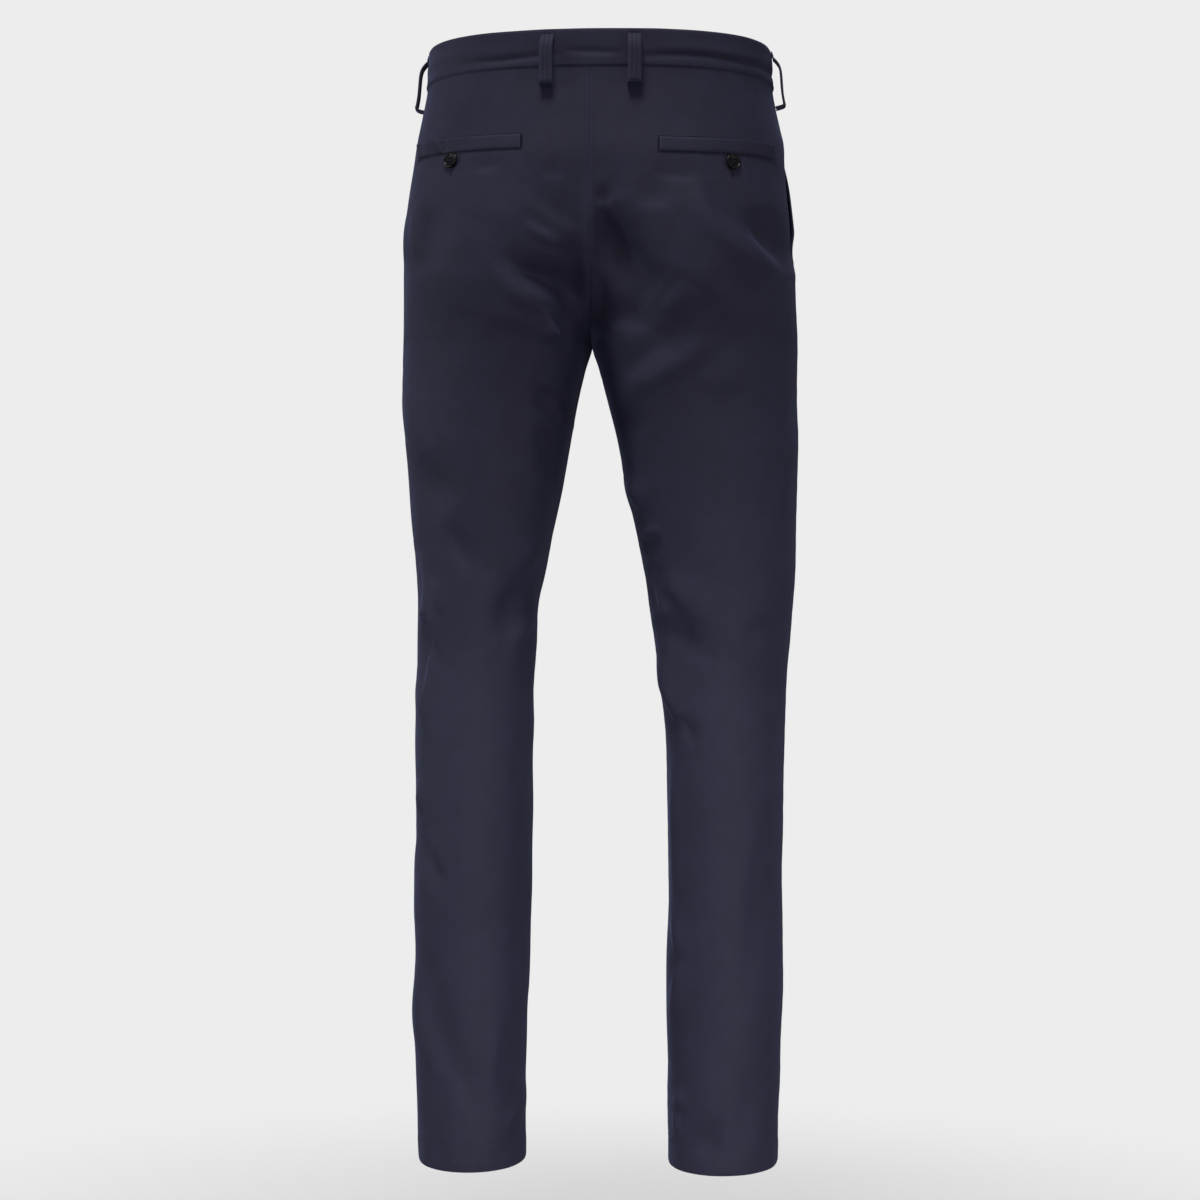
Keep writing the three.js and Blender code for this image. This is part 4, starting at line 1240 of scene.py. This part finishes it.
# %% Welts
WELT_HEIGHT = 12
WELT_CLOTH = 1.4
WELT_FROM, WELT_TO = 64, 186
WELT_LEVEL = {LEFT: -84, RIGHT: -88}
WELT_LEAN = 1.7
WELT_SLACK_RATE, WELT_SLACK_START = 1.5, 0.3
WELT_PUCKER, WELT_PUCKER_LENGTH = 0.4, 2.6
WELT_ROLL, WELT_RUBBED = 0.7, 1.1
WELT_ROWS, WELT_COLUMNS = 13, 110


def welt_around(side, level, from_centre):
    return side * (half_round(side, level)[:, None] - from_centre)


def welt(side):
    height = np.linspace(-WELT_HEIGHT / 2, WELT_HEIGHT / 2, WELT_ROWS)
    levels = WELT_LEVEL[side] + height
    from_centre = np.linspace(WELT_FROM, WELT_TO, WELT_COLUMNS)
    around = welt_around(side, levels, from_centre)
    outward = (from_centre - WELT_FROM) / (WELT_TO - WELT_FROM)
    slack = smooth(outward * WELT_SLACK_RATE - WELT_SLACK_START)
    lean = WELT_LEAN * slack * (height[:, None] / (WELT_HEIGHT / 2) + 1)
    pucker = WELT_PUCKER * np.sin(from_centre / WELT_PUCKER_LENGTH) * slack * (side == LEFT)
    to_edge = np.minimum(
        WELT_HEIGHT / 2 - np.abs(height)[:, None],
        np.minimum(from_centre - WELT_FROM, WELT_TO - from_centre)[None, :],
    )
    top = LIE_GAP + WELT_CLOTH + lean + pucker - WELT_ROLL * bell(to_edge, ROLL_WIDTH)
    outer = on_body(levels, around, top)
    inner = on_body(levels, around, np.full(around.shape, LIE_GAP))
    level = np.broadcast_to(levels[:, None], around.shape)
    return outer, inner, around, level, bell(to_edge, WELT_RUBBED)


for word, side in SIDES.items():
    grids = welt(side)
    piece = shell(f"welt_{word}", *grids)
    declare_cloth(piece, f"back_welt_{word}", grids[0])

# %% [markdown]
# ## The zip tape and the shield behind the fly
# Inside the fronts, a tape carries the zip, and a strip of twill, the shield, keeps it off the
# skin. Both follow the fronts from inside.

# %% Zip tape and shield
ZIP_WIDTH = 24
ZIP_CLOTH = 1.2
ZIP_BOTTOM_LEVEL = -176
ZIP_GAP = 0.5
ZIP_LIFT = -CLOTH - ZIP_GAP
SHIELD_HALF = 21
SHIELD_LIFT = ZIP_LIFT - ZIP_CLOTH - SEAM_GAP
STRIP_ROWS, STRIP_COLUMNS = 60, 15


def behind_fly(half, bottom, lift, thick):
    levels = np.linspace(bottom, WAIST_SEAM_LEVEL - SEAM_GAP / 2, STRIP_ROWS)
    around = np.broadcast_to(np.linspace(-half, half, STRIP_COLUMNS), (STRIP_ROWS, STRIP_COLUMNS))
    outer = on_body(levels, around, lift)
    inner = on_body(levels, around, lift - thick)
    return outer, inner, around, np.broadcast_to(levels[:, None], around.shape)


for name, node, sizes in (
    ("zip_tape", "fly_zip", (ZIP_WIDTH / 2, ZIP_BOTTOM_LEVEL, ZIP_LIFT, ZIP_CLOTH)),
    ("shield", "fly_shield", (SHIELD_HALF, FLY_BOTTOM_LEVEL, SHIELD_LIFT, CLOTH)),
):
    grids = behind_fly(*sizes)
    declare_cloth(shell(name, *grids), node, grids[0])

# %% [markdown]
# ## Buttons
# A button is turned on a lathe: a flat back, a rounded rim, and a dished middle with four holes.
# So its profile is spun round its axis here too, and the holes are drilled by a Boolean. It then
# stands exactly where its solid does.

# %% Turning a button
LATHE_AXIS = 0.01  # the smallest ring, which a flat face closes
BUTTON_PROFILE = np.array([
    # radius, height
    [LATHE_AXIS, 0], [6.5, 0], [7.1, 0.3], [7.4, 0.9], [7.4, 1.6], [7.15, 2.2], [6.6, 2.55],
    [6, 2.5], [5.5, 2.15], [5.1, 1.75], [4.4, 1.55], [2.6, 1.5], [LATHE_AXIS, 1.5],
])
BUTTON_TURNS = 56
BUTTON_HALF_HEIGHT = 1.3
BUTTON_SHARP_EDGE = math.radians(40)
HOLE_RADIUS, HOLE_OFFSET, HOLE_DEPTH, HOLE_TURNS = 0.9, 1.5, 12, 20


def turned_button(name):
    profile = smooth_path(BUTTON_PROFILE, 3)
    profile[:, 0] = np.maximum(profile[:, 0], LATHE_AXIS)
    profile[:, 1] = np.maximum(profile[:, 1], 0)
    angle = np.linspace(0, TURN, BUTTON_TURNS, endpoint=False)
    ring = np.stack([np.cos(angle), np.sin(angle)], axis=-1)
    body = bmesh.new()
    rows = [[body.verts.new((*(xy * radius * MM), height * MM)) for xy in ring]
            for radius, height in profile]
    for low, top in zip(rows, rows[1:]):
        for i in range(BUTTON_TURNS):
            j = (i + 1) % BUTTON_TURNS
            body.faces.new((low[i], low[j], top[j], top[i]))
    body.faces.new(rows[0][::-1])
    body.faces.new(rows[-1])
    bmesh.ops.recalc_face_normals(body, faces=body.faces)
    mesh = bpy.data.meshes.new(name)
    body.to_mesh(mesh)
    body.free()
    piece = bpy.data.objects.new(name, mesh)
    bpy.context.collection.objects.link(piece)
    return piece


def drills():
    body = bmesh.new()
    for x in (-HOLE_OFFSET, HOLE_OFFSET):
        for y in (-HOLE_OFFSET, HOLE_OFFSET):
            bmesh.ops.create_cone(
                body, cap_ends=True, segments=HOLE_TURNS, depth=HOLE_DEPTH * MM,
                radius1=HOLE_RADIUS * MM, radius2=HOLE_RADIUS * MM,
                matrix=Matrix.Translation((x * MM, y * MM, 0)),
            )
    mesh = bpy.data.meshes.new("drills")
    body.to_mesh(mesh)
    body.free()
    tool = bpy.data.objects.new("drills", mesh)
    bpy.context.collection.objects.link(tool)
    return tool


def settled_mesh(piece):
    """The piece's mesh with its modifiers worked in, and the modifiers taken off."""
    result = bpy.data.meshes.new_from_object(
        piece.evaluated_get(bpy.context.evaluated_depsgraph_get())
    )
    piece.modifiers.clear()
    return result


BUTTON_PLACES = {
    # from centre back, level, side
    "back_button_left": (134, -98, LEFT),
    "back_button_right": (134, -102, RIGHT),
}
WAIST_BUTTON_AROUND = 12


def button_seat(node):
    """Where a button lies and which way it faces: round from centre front, and level."""
    if node == "waist_button":
        return WAIST_BUTTON_AROUND, 0
    from_centre, level, side = BUTTON_PLACES[node]
    return behind(side, level, from_centre)[0], level


def facing_out(around, level):
    base, tip = (on_body([level], [[around]], lift)[0, 0] for lift in (0, 10))
    return Vector(tip - base).normalized()


button_frames = {}
for node in ("back_button_left", "back_button_right", "waist_button"):
    piece = turned_button("turned_" + node)
    drill = drills()
    cut = piece.modifiers.new("holes", "BOOLEAN")
    cut.operation, cut.solver, cut.object = "DIFFERENCE", "EXACT", drill
    mesh = settled_mesh(piece)
    bpy.data.objects.remove(drill)
    low, top = (Vector(corner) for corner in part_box(node))
    out = facing_out(*button_seat(node))
    turn = out.to_track_quat("Z", "Y").to_matrix().to_4x4()
    down = Matrix.Translation((0, 0, -BUTTON_HALF_HEIGHT * MM))
    place = Matrix.Translation((low + top) / 2) @ turn @ down
    mesh.transform(place)
    mesh.materials.clear()
    mesh.materials.append(HORN)
    mesh.polygons.foreach_set("use_smooth", np.ones(len(mesh.polygons), bool))
    mesh.set_sharp_from_angle(angle=BUTTON_SHARP_EDGE)
    piece.data = mesh
    button_frames[node] = place
    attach(piece, "root")
    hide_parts(node)
    print(piece.name, len(mesh.polygons), "faces, at", [round(v, 4) for v in (low + top) / 2])

# %% [markdown]
# ## Where the sewing runs
# A lockstitch is a row of short thread humps, and on chinos nearly every edge has one. Each row
# is only a path here: places round the body and levels, just above the cloth. Keeping paths
# apart from stitches means that one recipe sews them all.

# %% Paths for the sewing
STITCH_LIFT = 0.2
BELOW_BAND = WAIST_SEAM_LEVEL - 2
SEAT_STITCH_INSET, SEAT_STITCH_END = 2.6, -236
BAND_STITCH_UP, BAND_STITCH_INSET = 1.8, 1
POCKET_STITCH_INSET, POCKET_STITCH_END_UP = 6, 3
WELT_STITCH_OUT, WELT_STITCH_OVER = 1.6, 1.5
LOOP_STITCH_APART, LOOP_STITCH_BETWEEN = 2, 3
LOOP_STITCHED = slice(2, 22)  # which points of a loop's smooth path its stitches follow
HEM_STITCH_START = 0.004  # of the way across the panel
FLY_STITCH_INSET, FLY_STITCH_END = 4, 2
FLY_TURN_LEVEL, FLY_TURN_DEPTH = -160, 30
PATH_POINTS = {
    "centre back": 90, "band": 200, "pocket": 70, "along a welt": 60, "end of a welt": 10,
    "hem": 110, "down the fly": 50, "turn of the fly": 26,
}
seams = {}


def path_on_cloth(around, levels, lift):
    """One point for each place, with its own level."""
    around, levels = np.broadcast_arrays(np.asarray(around, float), np.asarray(levels, float))
    lift = np.broadcast_to(lift, around.shape)
    return on_body(levels, around[:, None], lift[:, None])[:, 0]


def sew(name, around, levels, lift=STITCH_LIFT):
    seams[name] = path_on_cloth(around, levels, lift)


def sew_centre_back():
    levels = np.linspace(BELOW_BAND, SEAT_STITCH_END, PATH_POINTS["centre back"])
    sew("centre_back", behind(RIGHT, levels, SEAT_STITCH_INSET), levels)


def sew_band(word, side):
    level = WAIST_SEAM_LEVEL + BAND_STITCH_UP
    start, end = BAND_STITCH_INSET - side * FLY_EDGE, half_round(side, level)[0] - BAND_STITCH_INSET
    around = side * np.linspace(start, end, PATH_POINTS["band"])[None, :]
    lift = band_lift(side, np.array([level]), around) + STITCH_LIFT
    seams["band_" + word] = on_body([level], around, lift)[0]


def slant_edge(side, levels, inset):
    """Places on the front panel, by their distance from the edge of a slant pocket."""
    return side * (lengths(side, FRONT, levels) - slant_at(levels) - inset)


def sew_pocket(word, side):
    end = POCKET_BOTTOM_LEVEL + POCKET_STITCH_END_UP
    levels = np.linspace(BELOW_BAND, end, PATH_POINTS["pocket"])
    sew("pocket_edge_" + word, slant_edge(side, levels, POCKET_STITCH_INSET), levels)


def sew_welt(word, side):
    low, top = WELT_FROM - WELT_STITCH_OUT, WELT_TO + WELT_STITCH_OUT
    tall = WELT_HEIGHT / 2 + WELT_STITCH_OVER
    corners = [(low, tall), (top, tall), (top, -tall), (low, -tall), (low, tall)]
    for number, ((start, high), (end, next_high)) in enumerate(zip(corners, corners[1:])):
        count = PATH_POINTS["along a welt" if start != end else "end of a welt"]
        levels = WELT_LEVEL[side] + np.linspace(high, next_high, count)
        around = behind(side, levels, np.linspace(start, end, count))
        sew(f"welt_{word}_{number}", around, levels)


def sew_loops(word, side):
    stations = smooth_path(LOOP_STATIONS, LOOP_STITCH_BETWEEN)[LOOP_STITCHED]
    lift = np.maximum(stations[:, 0], LOOP_OVER_BAND) + STITCH_LIFT
    for place, around_at in loop_places(side).items():
        for row, across in enumerate((-LOOP_STITCH_APART, LOOP_STITCH_APART)):
            around = around_at(stations[:, 1]) + across
            sew(f"loop_{place}_{word}_{row}", around, stations[:, 1], lift)


def sew_hem(word, side):
    share = np.linspace(HEM_STITCH_START, 1 - HEM_STITCH_START, PATH_POINTS["hem"])[None, :]
    for way, face in (("back", BACK), ("front", FRONT)):
        line = surface(side, face, [HEM_LEVEL + HEM_DEPTH], share, STITCH_LIFT - HEM_GROOVE)
        seams[f"hem_{way}_{word}"] = line[0]


def sew_fly():
    """The stitches that hold the doubled fly: down, and in a quarter turn to the middle."""
    down = np.linspace(BELOW_BAND, FLY_TURN_LEVEL, PATH_POINTS["down the fly"])
    turn = np.linspace(0, np.pi / 2, PATH_POINTS["turn of the fly"])
    out = FLY_WIDTH - FLY_STITCH_INSET
    around = np.concatenate([
        np.full(len(down), out), FLY_STITCH_END + (out - FLY_STITCH_END) * np.cos(turn),
    ])
    levels = np.concatenate([down, FLY_TURN_LEVEL - FLY_TURN_DEPTH * np.sin(turn)])
    sew("fly", around, levels, STITCH_LIFT + FLY_DOUBLED / 2)


sew_centre_back()
for word, side in SIDES.items():
    for sew_place in (sew_band, sew_pocket, sew_welt, sew_loops, sew_hem):
        sew_place(word, side)
sew_fly()
print(len(seams), "rows of stitches,", sum(len(p) for p in seams.values()), "points")

# %% [markdown]
# ## One recipe for every stitch
# Geometry Nodes turn the paths into sewing: each path is walked in steps of one stitch, and on
# each step lies a small thread hump, turned along the path. The sizes are inputs of the tree, so
# a finer seam is a number and not a new recipe. The result is made plain mesh before it is kept,
# because instances don't survive the export.


# %% The stitching tree
def stitching_tree(material):
    tree = bpy.data.node_groups.new("lockstitch", "GeometryNodeTree")
    sockets = tree.interface
    sockets.new_socket("Paths", in_out="INPUT", socket_type="NodeSocketGeometry")
    sizes = {
        word: sockets.new_socket(word, in_out="INPUT", socket_type="NodeSocketFloat")
        for word in ("Stitch step", "Stitch length", "Thread radius")
    }
    sockets.new_socket("Sewing", in_out="OUTPUT", socket_type="NodeSocketGeometry")

    def node(kind, settings=None, **links):
        made = tree.nodes.new(kind)
        for key, value in (settings or {}).items():
            setattr(made, key, value)
        for key, value in links.items():
            tree.links.new(value, made.inputs[key.replace("_", " ")])
        return made

    given = node("NodeGroupInput")
    lines = node("GeometryNodeMeshToCurve", Mesh=given.outputs["Paths"])
    steps = node("GeometryNodeCurveToPoints", {"mode": "LENGTH"},
                 Curve=lines.outputs["Curve"], Length=given.outputs["Stitch step"])
    hump = node("GeometryNodeMeshIcoSphere")
    hump.inputs["Radius"].default_value = 1
    hump.inputs["Subdivisions"].default_value = 1
    half = node("ShaderNodeMath", {"operation": "MULTIPLY"})
    tree.links.new(given.outputs["Stitch length"], half.inputs[0])
    half.inputs[1].default_value = 0.5
    size = node("ShaderNodeCombineXYZ", X=given.outputs["Thread radius"],
                Y=given.outputs["Thread radius"], Z=half.outputs[0])
    laid = node("GeometryNodeInstanceOnPoints", Points=steps.outputs["Points"],
                Instance=hump.outputs["Mesh"], Rotation=steps.outputs["Rotation"],
                Scale=size.outputs["Vector"])
    real = node("GeometryNodeRealizeInstances", Geometry=laid.outputs["Instances"])
    smoothed = node("GeometryNodeSetShadeSmooth", Geometry=real.outputs["Geometry"])
    finish = node("GeometryNodeSetMaterial", Geometry=smoothed.outputs["Geometry"])
    finish.inputs["Material"].default_value = material
    node("NodeGroupOutput", Sewing=finish.outputs["Geometry"])
    return tree, {word: socket.identifier for word, socket in sizes.items()}


def sewing(name, paths, step, length, radius):
    points, edges = [], []
    for path in paths:
        first = len(points)
        points += (path * MM).tolist()
        edges += [(i, i + 1) for i in range(first, len(points) - 1)]
    mesh = bpy.data.meshes.new(name)
    mesh.from_pydata(points, edges, [])
    piece = bpy.data.objects.new(name, mesh)
    bpy.context.collection.objects.link(piece)
    tree, inputs = stitching_tree(THREAD)
    walk = piece.modifiers.new("lockstitch", "NODES")
    walk.node_group = tree
    for word, value in (("Stitch step", step), ("Stitch length", length), ("Thread radius", radius)):
        walk[inputs[word]] = value * MM
    piece.data = settled_mesh(piece)
    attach(piece, "root")
    print(f"{name}: {len(piece.data.polygons)} triangles")
    return piece


STITCH_STEP, STITCH_LENGTH, THREAD_RADIUS = 2.7, 2.2, 0.27
sewing("lockstitches", seams.values(), STITCH_STEP, STITCH_LENGTH, THREAD_RADIUS)

# %% [markdown]
# ## Bar tacks, buttonholes and the threads of the buttons
# Where a seam takes strain, a sewing machine zigzags over it, a bar tack. A buttonhole is edged
# the same way. These are paths as well, but packed so closely that each becomes one thin tube
# that runs to and fro.


# %% Zigzags of thread
def zigzag(around_at, level, wide, tall, lift, turns):
    """A bar tack, so wide across the body and so tall up it."""
    t = np.linspace(0, 1, 2 * turns + 1)
    to_and_fro = np.tile([-0.5, 0.5], turns + 1)[: len(t)]
    if wide >= tall:
        across, up = (t - 0.5) * wide, to_and_fro * tall
    else:
        across, up = to_and_fro * wide, (t - 0.5) * tall
    return path_on_cloth(around_at(level + up) + across, level + up, lift)


TACK_TALL, TACK_LIFT = 1.5, 0.3
LONG_TACK_TURNS = 18
LOOP_TACK_WIDE = 10
LOOP_TACKS = ((13.8, 2.35), (-33.2, 10))  # level, lift
SHORT_TACK_WIDE, SHORT_TACK_TURNS = 6, 11
POCKET_TACK_LEVELS = (WAIST_SEAM_LEVEL - 8, POCKET_BOTTOM_LEVEL + 5)
POCKET_TACK_INSET, POCKET_TACK_LIFT = 3, 0.25
WELT_TACKS = (WELT_FROM - 1, WELT_TO + 1)
FLY_TACK_AROUND, FLY_TACK_LEVEL, FLY_TACK_LIFT = 2.5, -187, 0.9
BUTTONHOLE_BELOW, BUTTONHOLE_TURNS = 10.5, 10
BUTTONHOLE_WIDE, BUTTONHOLE_TALL = 1.8, 5
tacks = []


def tack(around_at, level, wide, tall, turns, lift=TACK_LIFT):
    tacks.append(zigzag(around_at, level, wide, tall, lift, turns))


def tack_side(word, side):
    for around_at in loop_places(side).values():
        for level, lift in LOOP_TACKS:
            tack(around_at, level, LOOP_TACK_WIDE, TACK_TALL, LONG_TACK_TURNS, lift)
    for level in POCKET_TACK_LEVELS:
        tack(lambda z: slant_edge(side, z, POCKET_TACK_INSET), level,
             SHORT_TACK_WIDE, TACK_TALL, SHORT_TACK_TURNS, POCKET_TACK_LIFT)
    for end in WELT_TACKS:
        tack(lambda z: behind(side, z, end), WELT_LEVEL[side],
             TACK_TALL, WELT_HEIGHT, LONG_TACK_TURNS)
    from_centre, level, _ = BUTTON_PLACES["back_button_" + word]
    tack(lambda z: behind(side, z, from_centre), level - BUTTONHOLE_BELOW,
         BUTTONHOLE_WIDE, BUTTONHOLE_TALL, BUTTONHOLE_TURNS)


for word, side in SIDES.items():
    tack_side(word, side)
tack(lambda z: FLY_TACK_AROUND, FLY_TACK_LEVEL,
     SHORT_TACK_WIDE, TACK_TALL, SHORT_TACK_TURNS, FLY_TACK_LIFT)

THREAD_START, THREAD_ARCH = 1.2, 0.75  # height in the button, and above it


def thread_over(place):
    """The two crossing threads that hold a button, over its four holes."""
    t = np.linspace(0, 1, 9)
    across = (t - 0.5) * 2 * HOLE_OFFSET
    rows = []
    for turn in (1, -1):
        height = THREAD_START + THREAD_ARCH * np.sin(np.pi * t)
        line = np.stack([across, across * turn, height], axis=-1) * MM
        rows.append(np.array([place @ Vector(p) for p in line]) / MM)
    return rows


for place in button_frames.values():
    tacks += thread_over(place)


def thread_tubes(name, paths, radius):
    curve = bpy.data.curves.new(name, "CURVE")
    curve.dimensions = "3D"
    curve.bevel_depth = radius * MM
    curve.bevel_resolution = 1
    curve.use_fill_caps = True
    for path in paths:
        spline = curve.splines.new("POLY")
        spline.points.add(len(path) - 1)
        spline.points.foreach_set("co", np.c_[path * MM, np.ones(len(path))].ravel())
    maker = bpy.data.objects.new(name + "_maker", curve)
    bpy.context.collection.objects.link(maker)
    mesh = bpy.data.meshes.new_from_object(
        maker.evaluated_get(bpy.context.evaluated_depsgraph_get())
    )
    bpy.data.objects.remove(maker)
    mesh.name = name
    mesh.materials.clear()
    mesh.materials.append(THREAD)
    mesh.polygons.foreach_set("use_smooth", np.ones(len(mesh.polygons), bool))
    piece = bpy.data.objects.new(name, mesh)
    bpy.context.collection.objects.link(piece)
    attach(piece, "root")
    print(f"{name}: {len(mesh.polygons) * 2} triangles")


TACK_THREAD_RADIUS = 0.24
thread_tubes("tacks_and_button_threads", tacks, TACK_THREAD_RADIUS)

# %% [markdown]
# ## The wall and the floor
# The picture was taken against a plain pale wall, in light so soft that it leaves no shadow. The
# world is that wall. The camera sees it at full brightness, but the cloth gets only a part of it,
# so that the lamps can draw the folds. A floor that fades out into the wall keeps the trousers
# from hanging in nothing, and doesn't draw a horizon behind them.

# %% World and floor
WALL = (0.846, 0.846, 0.846, 1)
WALL_LIGHT = 0.15  # the wall's light on the cloth, as a share of how bright it is seen
FLOOR_LEVEL, FLOOR_RADIUS = -1.12, 1.7
FLOOR_GREY = (0.8, 0.8, 0.8, 1)
FLOOR_FADE = {"From Min": 0.15, "From Max": 1, "To Min": 0.3, "To Max": 0.0}

world = bpy.data.worlds.new("pale_wall")
bpy.context.scene.world = world
world.use_nodes = True
backdrop, links = world.node_tree.nodes, world.node_tree.links
seen_wall = backdrop["Background"]
seen_wall.inputs["Color"].default_value = WALL
dim_wall = backdrop.new("ShaderNodeBackground")
dim_wall.inputs["Color"].default_value = WALL
dim_wall.inputs["Strength"].default_value = WALL_LIGHT
ray = backdrop.new("ShaderNodeLightPath")
either = backdrop.new("ShaderNodeMixShader")
links.new(ray.outputs["Is Camera Ray"], either.inputs[0])
links.new(dim_wall.outputs[0], either.inputs[1])
links.new(seen_wall.outputs[0], either.inputs[2])
links.new(either.outputs[0], backdrop["World Output"].inputs["Surface"])

bpy.ops.mesh.primitive_circle_add(
    vertices=96, radius=FLOOR_RADIUS, fill_type="NGON", location=(0, 0, FLOOR_LEVEL)
)
floor = bpy.context.object
floor.name = "pale_floor"
ground = Finish("pale_floor")
spot = ground.node("TexCoord").outputs["Object"]
length = ground.node("VectorMath", {"operation": "LENGTH"}, {0: spot}).outputs["Value"]
fades = {"Value": length, **FLOOR_FADE}
seen = ground.node("MapRange", {"interpolation_type": "SMOOTHSTEP"}, fades).outputs["Result"]
pale = ground.node("BsdfDiffuse", {}, {"Color": FLOOR_GREY})
clear = ground.node("BsdfTransparent")
mixed = ground.node("MixShader", {}, {0: seen, 1: clear.outputs[0], 2: pale.outputs[0]})
ground.node("OutputMaterial", {}, {"Surface": mixed.outputs[0]})
floor.data.materials.append(ground.material)
print("wall light", WALL_LIGHT, "floor at", FLOOR_LEVEL)

# %% [markdown]
# ## The lamps
# Dark cloth shows its folds only where light grazes it, so four softboxes stand well to the
# sides. A tall one rakes over the cloth from the left, and a cooler one, beyond the trousers as
# the camera sees them, draws the thin bluish edge. Two weaker ones keep the right side from going
# black. The strongest hangs high up: it lights the yoke and leaves the hollow below the seat
# dark. Two low ones light the calves, with a grid that keeps them off the seat.

# %% Softboxes
COOL, COOLER, WARM = (0.92, 0.95, 1), (0.8, 0.87, 1), (1, 0.99, 0.98)
COOL_RIGHT = (0.95, 0.97, 1)
OPEN, GRID = math.pi, math.radians(38)
SOFTBOXES = {
    # position, aimed at, width, height, watts, colour, spread
    "left": ((2.4, 0.8, -0.1), (0, 0, -0.5), 0.4, 1.5, 13, COOL, OPEN),
    "edge": ((2.3, -0.7, -0.1), (0, 0, -0.5), 0.4, 1.5, 3, COOLER, OPEN),
    "right": ((-2.4, 0.5, -0.4), (0, 0, -0.7), 0.4, 1.4, 2, COOL_RIGHT, OPEN),
    "right_upper": ((-2.2, 1.2, 0.3), (0, 0, -0.5), 0.3, 0.6, 4, COOL_RIGHT, OPEN),
    "high": ((0.2, 0.9, 2), (0, 0, -0.3), 0.8, 0.6, 26, WARM, OPEN),
    "low": ((0.3, 2.6, -0.8), (0, 0, -0.88), 1.2, 0.7, 1, WARM, GRID),
    "low_right": ((-1.4, 2.2, -0.8), (0, 0, -0.88), 0.8, 0.7, 1.1, WARM, GRID),
}


def softbox(name, position, target, width, height, watts, colour, spread):
    lamp = bpy.data.lights.new(name, "AREA")
    lamp.shape, lamp.size, lamp.size_y = "RECTANGLE", width, height
    lamp.energy, lamp.color, lamp.spread = watts, colour, spread
    stand = bpy.data.objects.new(name, lamp)
    bpy.context.collection.objects.link(stand)
    stand.location = position
    stand.rotation_euler = (Vector(target) - stand.location).to_track_quat("-Z", "Y").to_euler()


for name, sizes in SOFTBOXES.items():
    softbox(name, *sizes)
bpy.context.scene.view_settings.view_transform = "Standard"
print(len(SOFTBOXES), "softboxes")
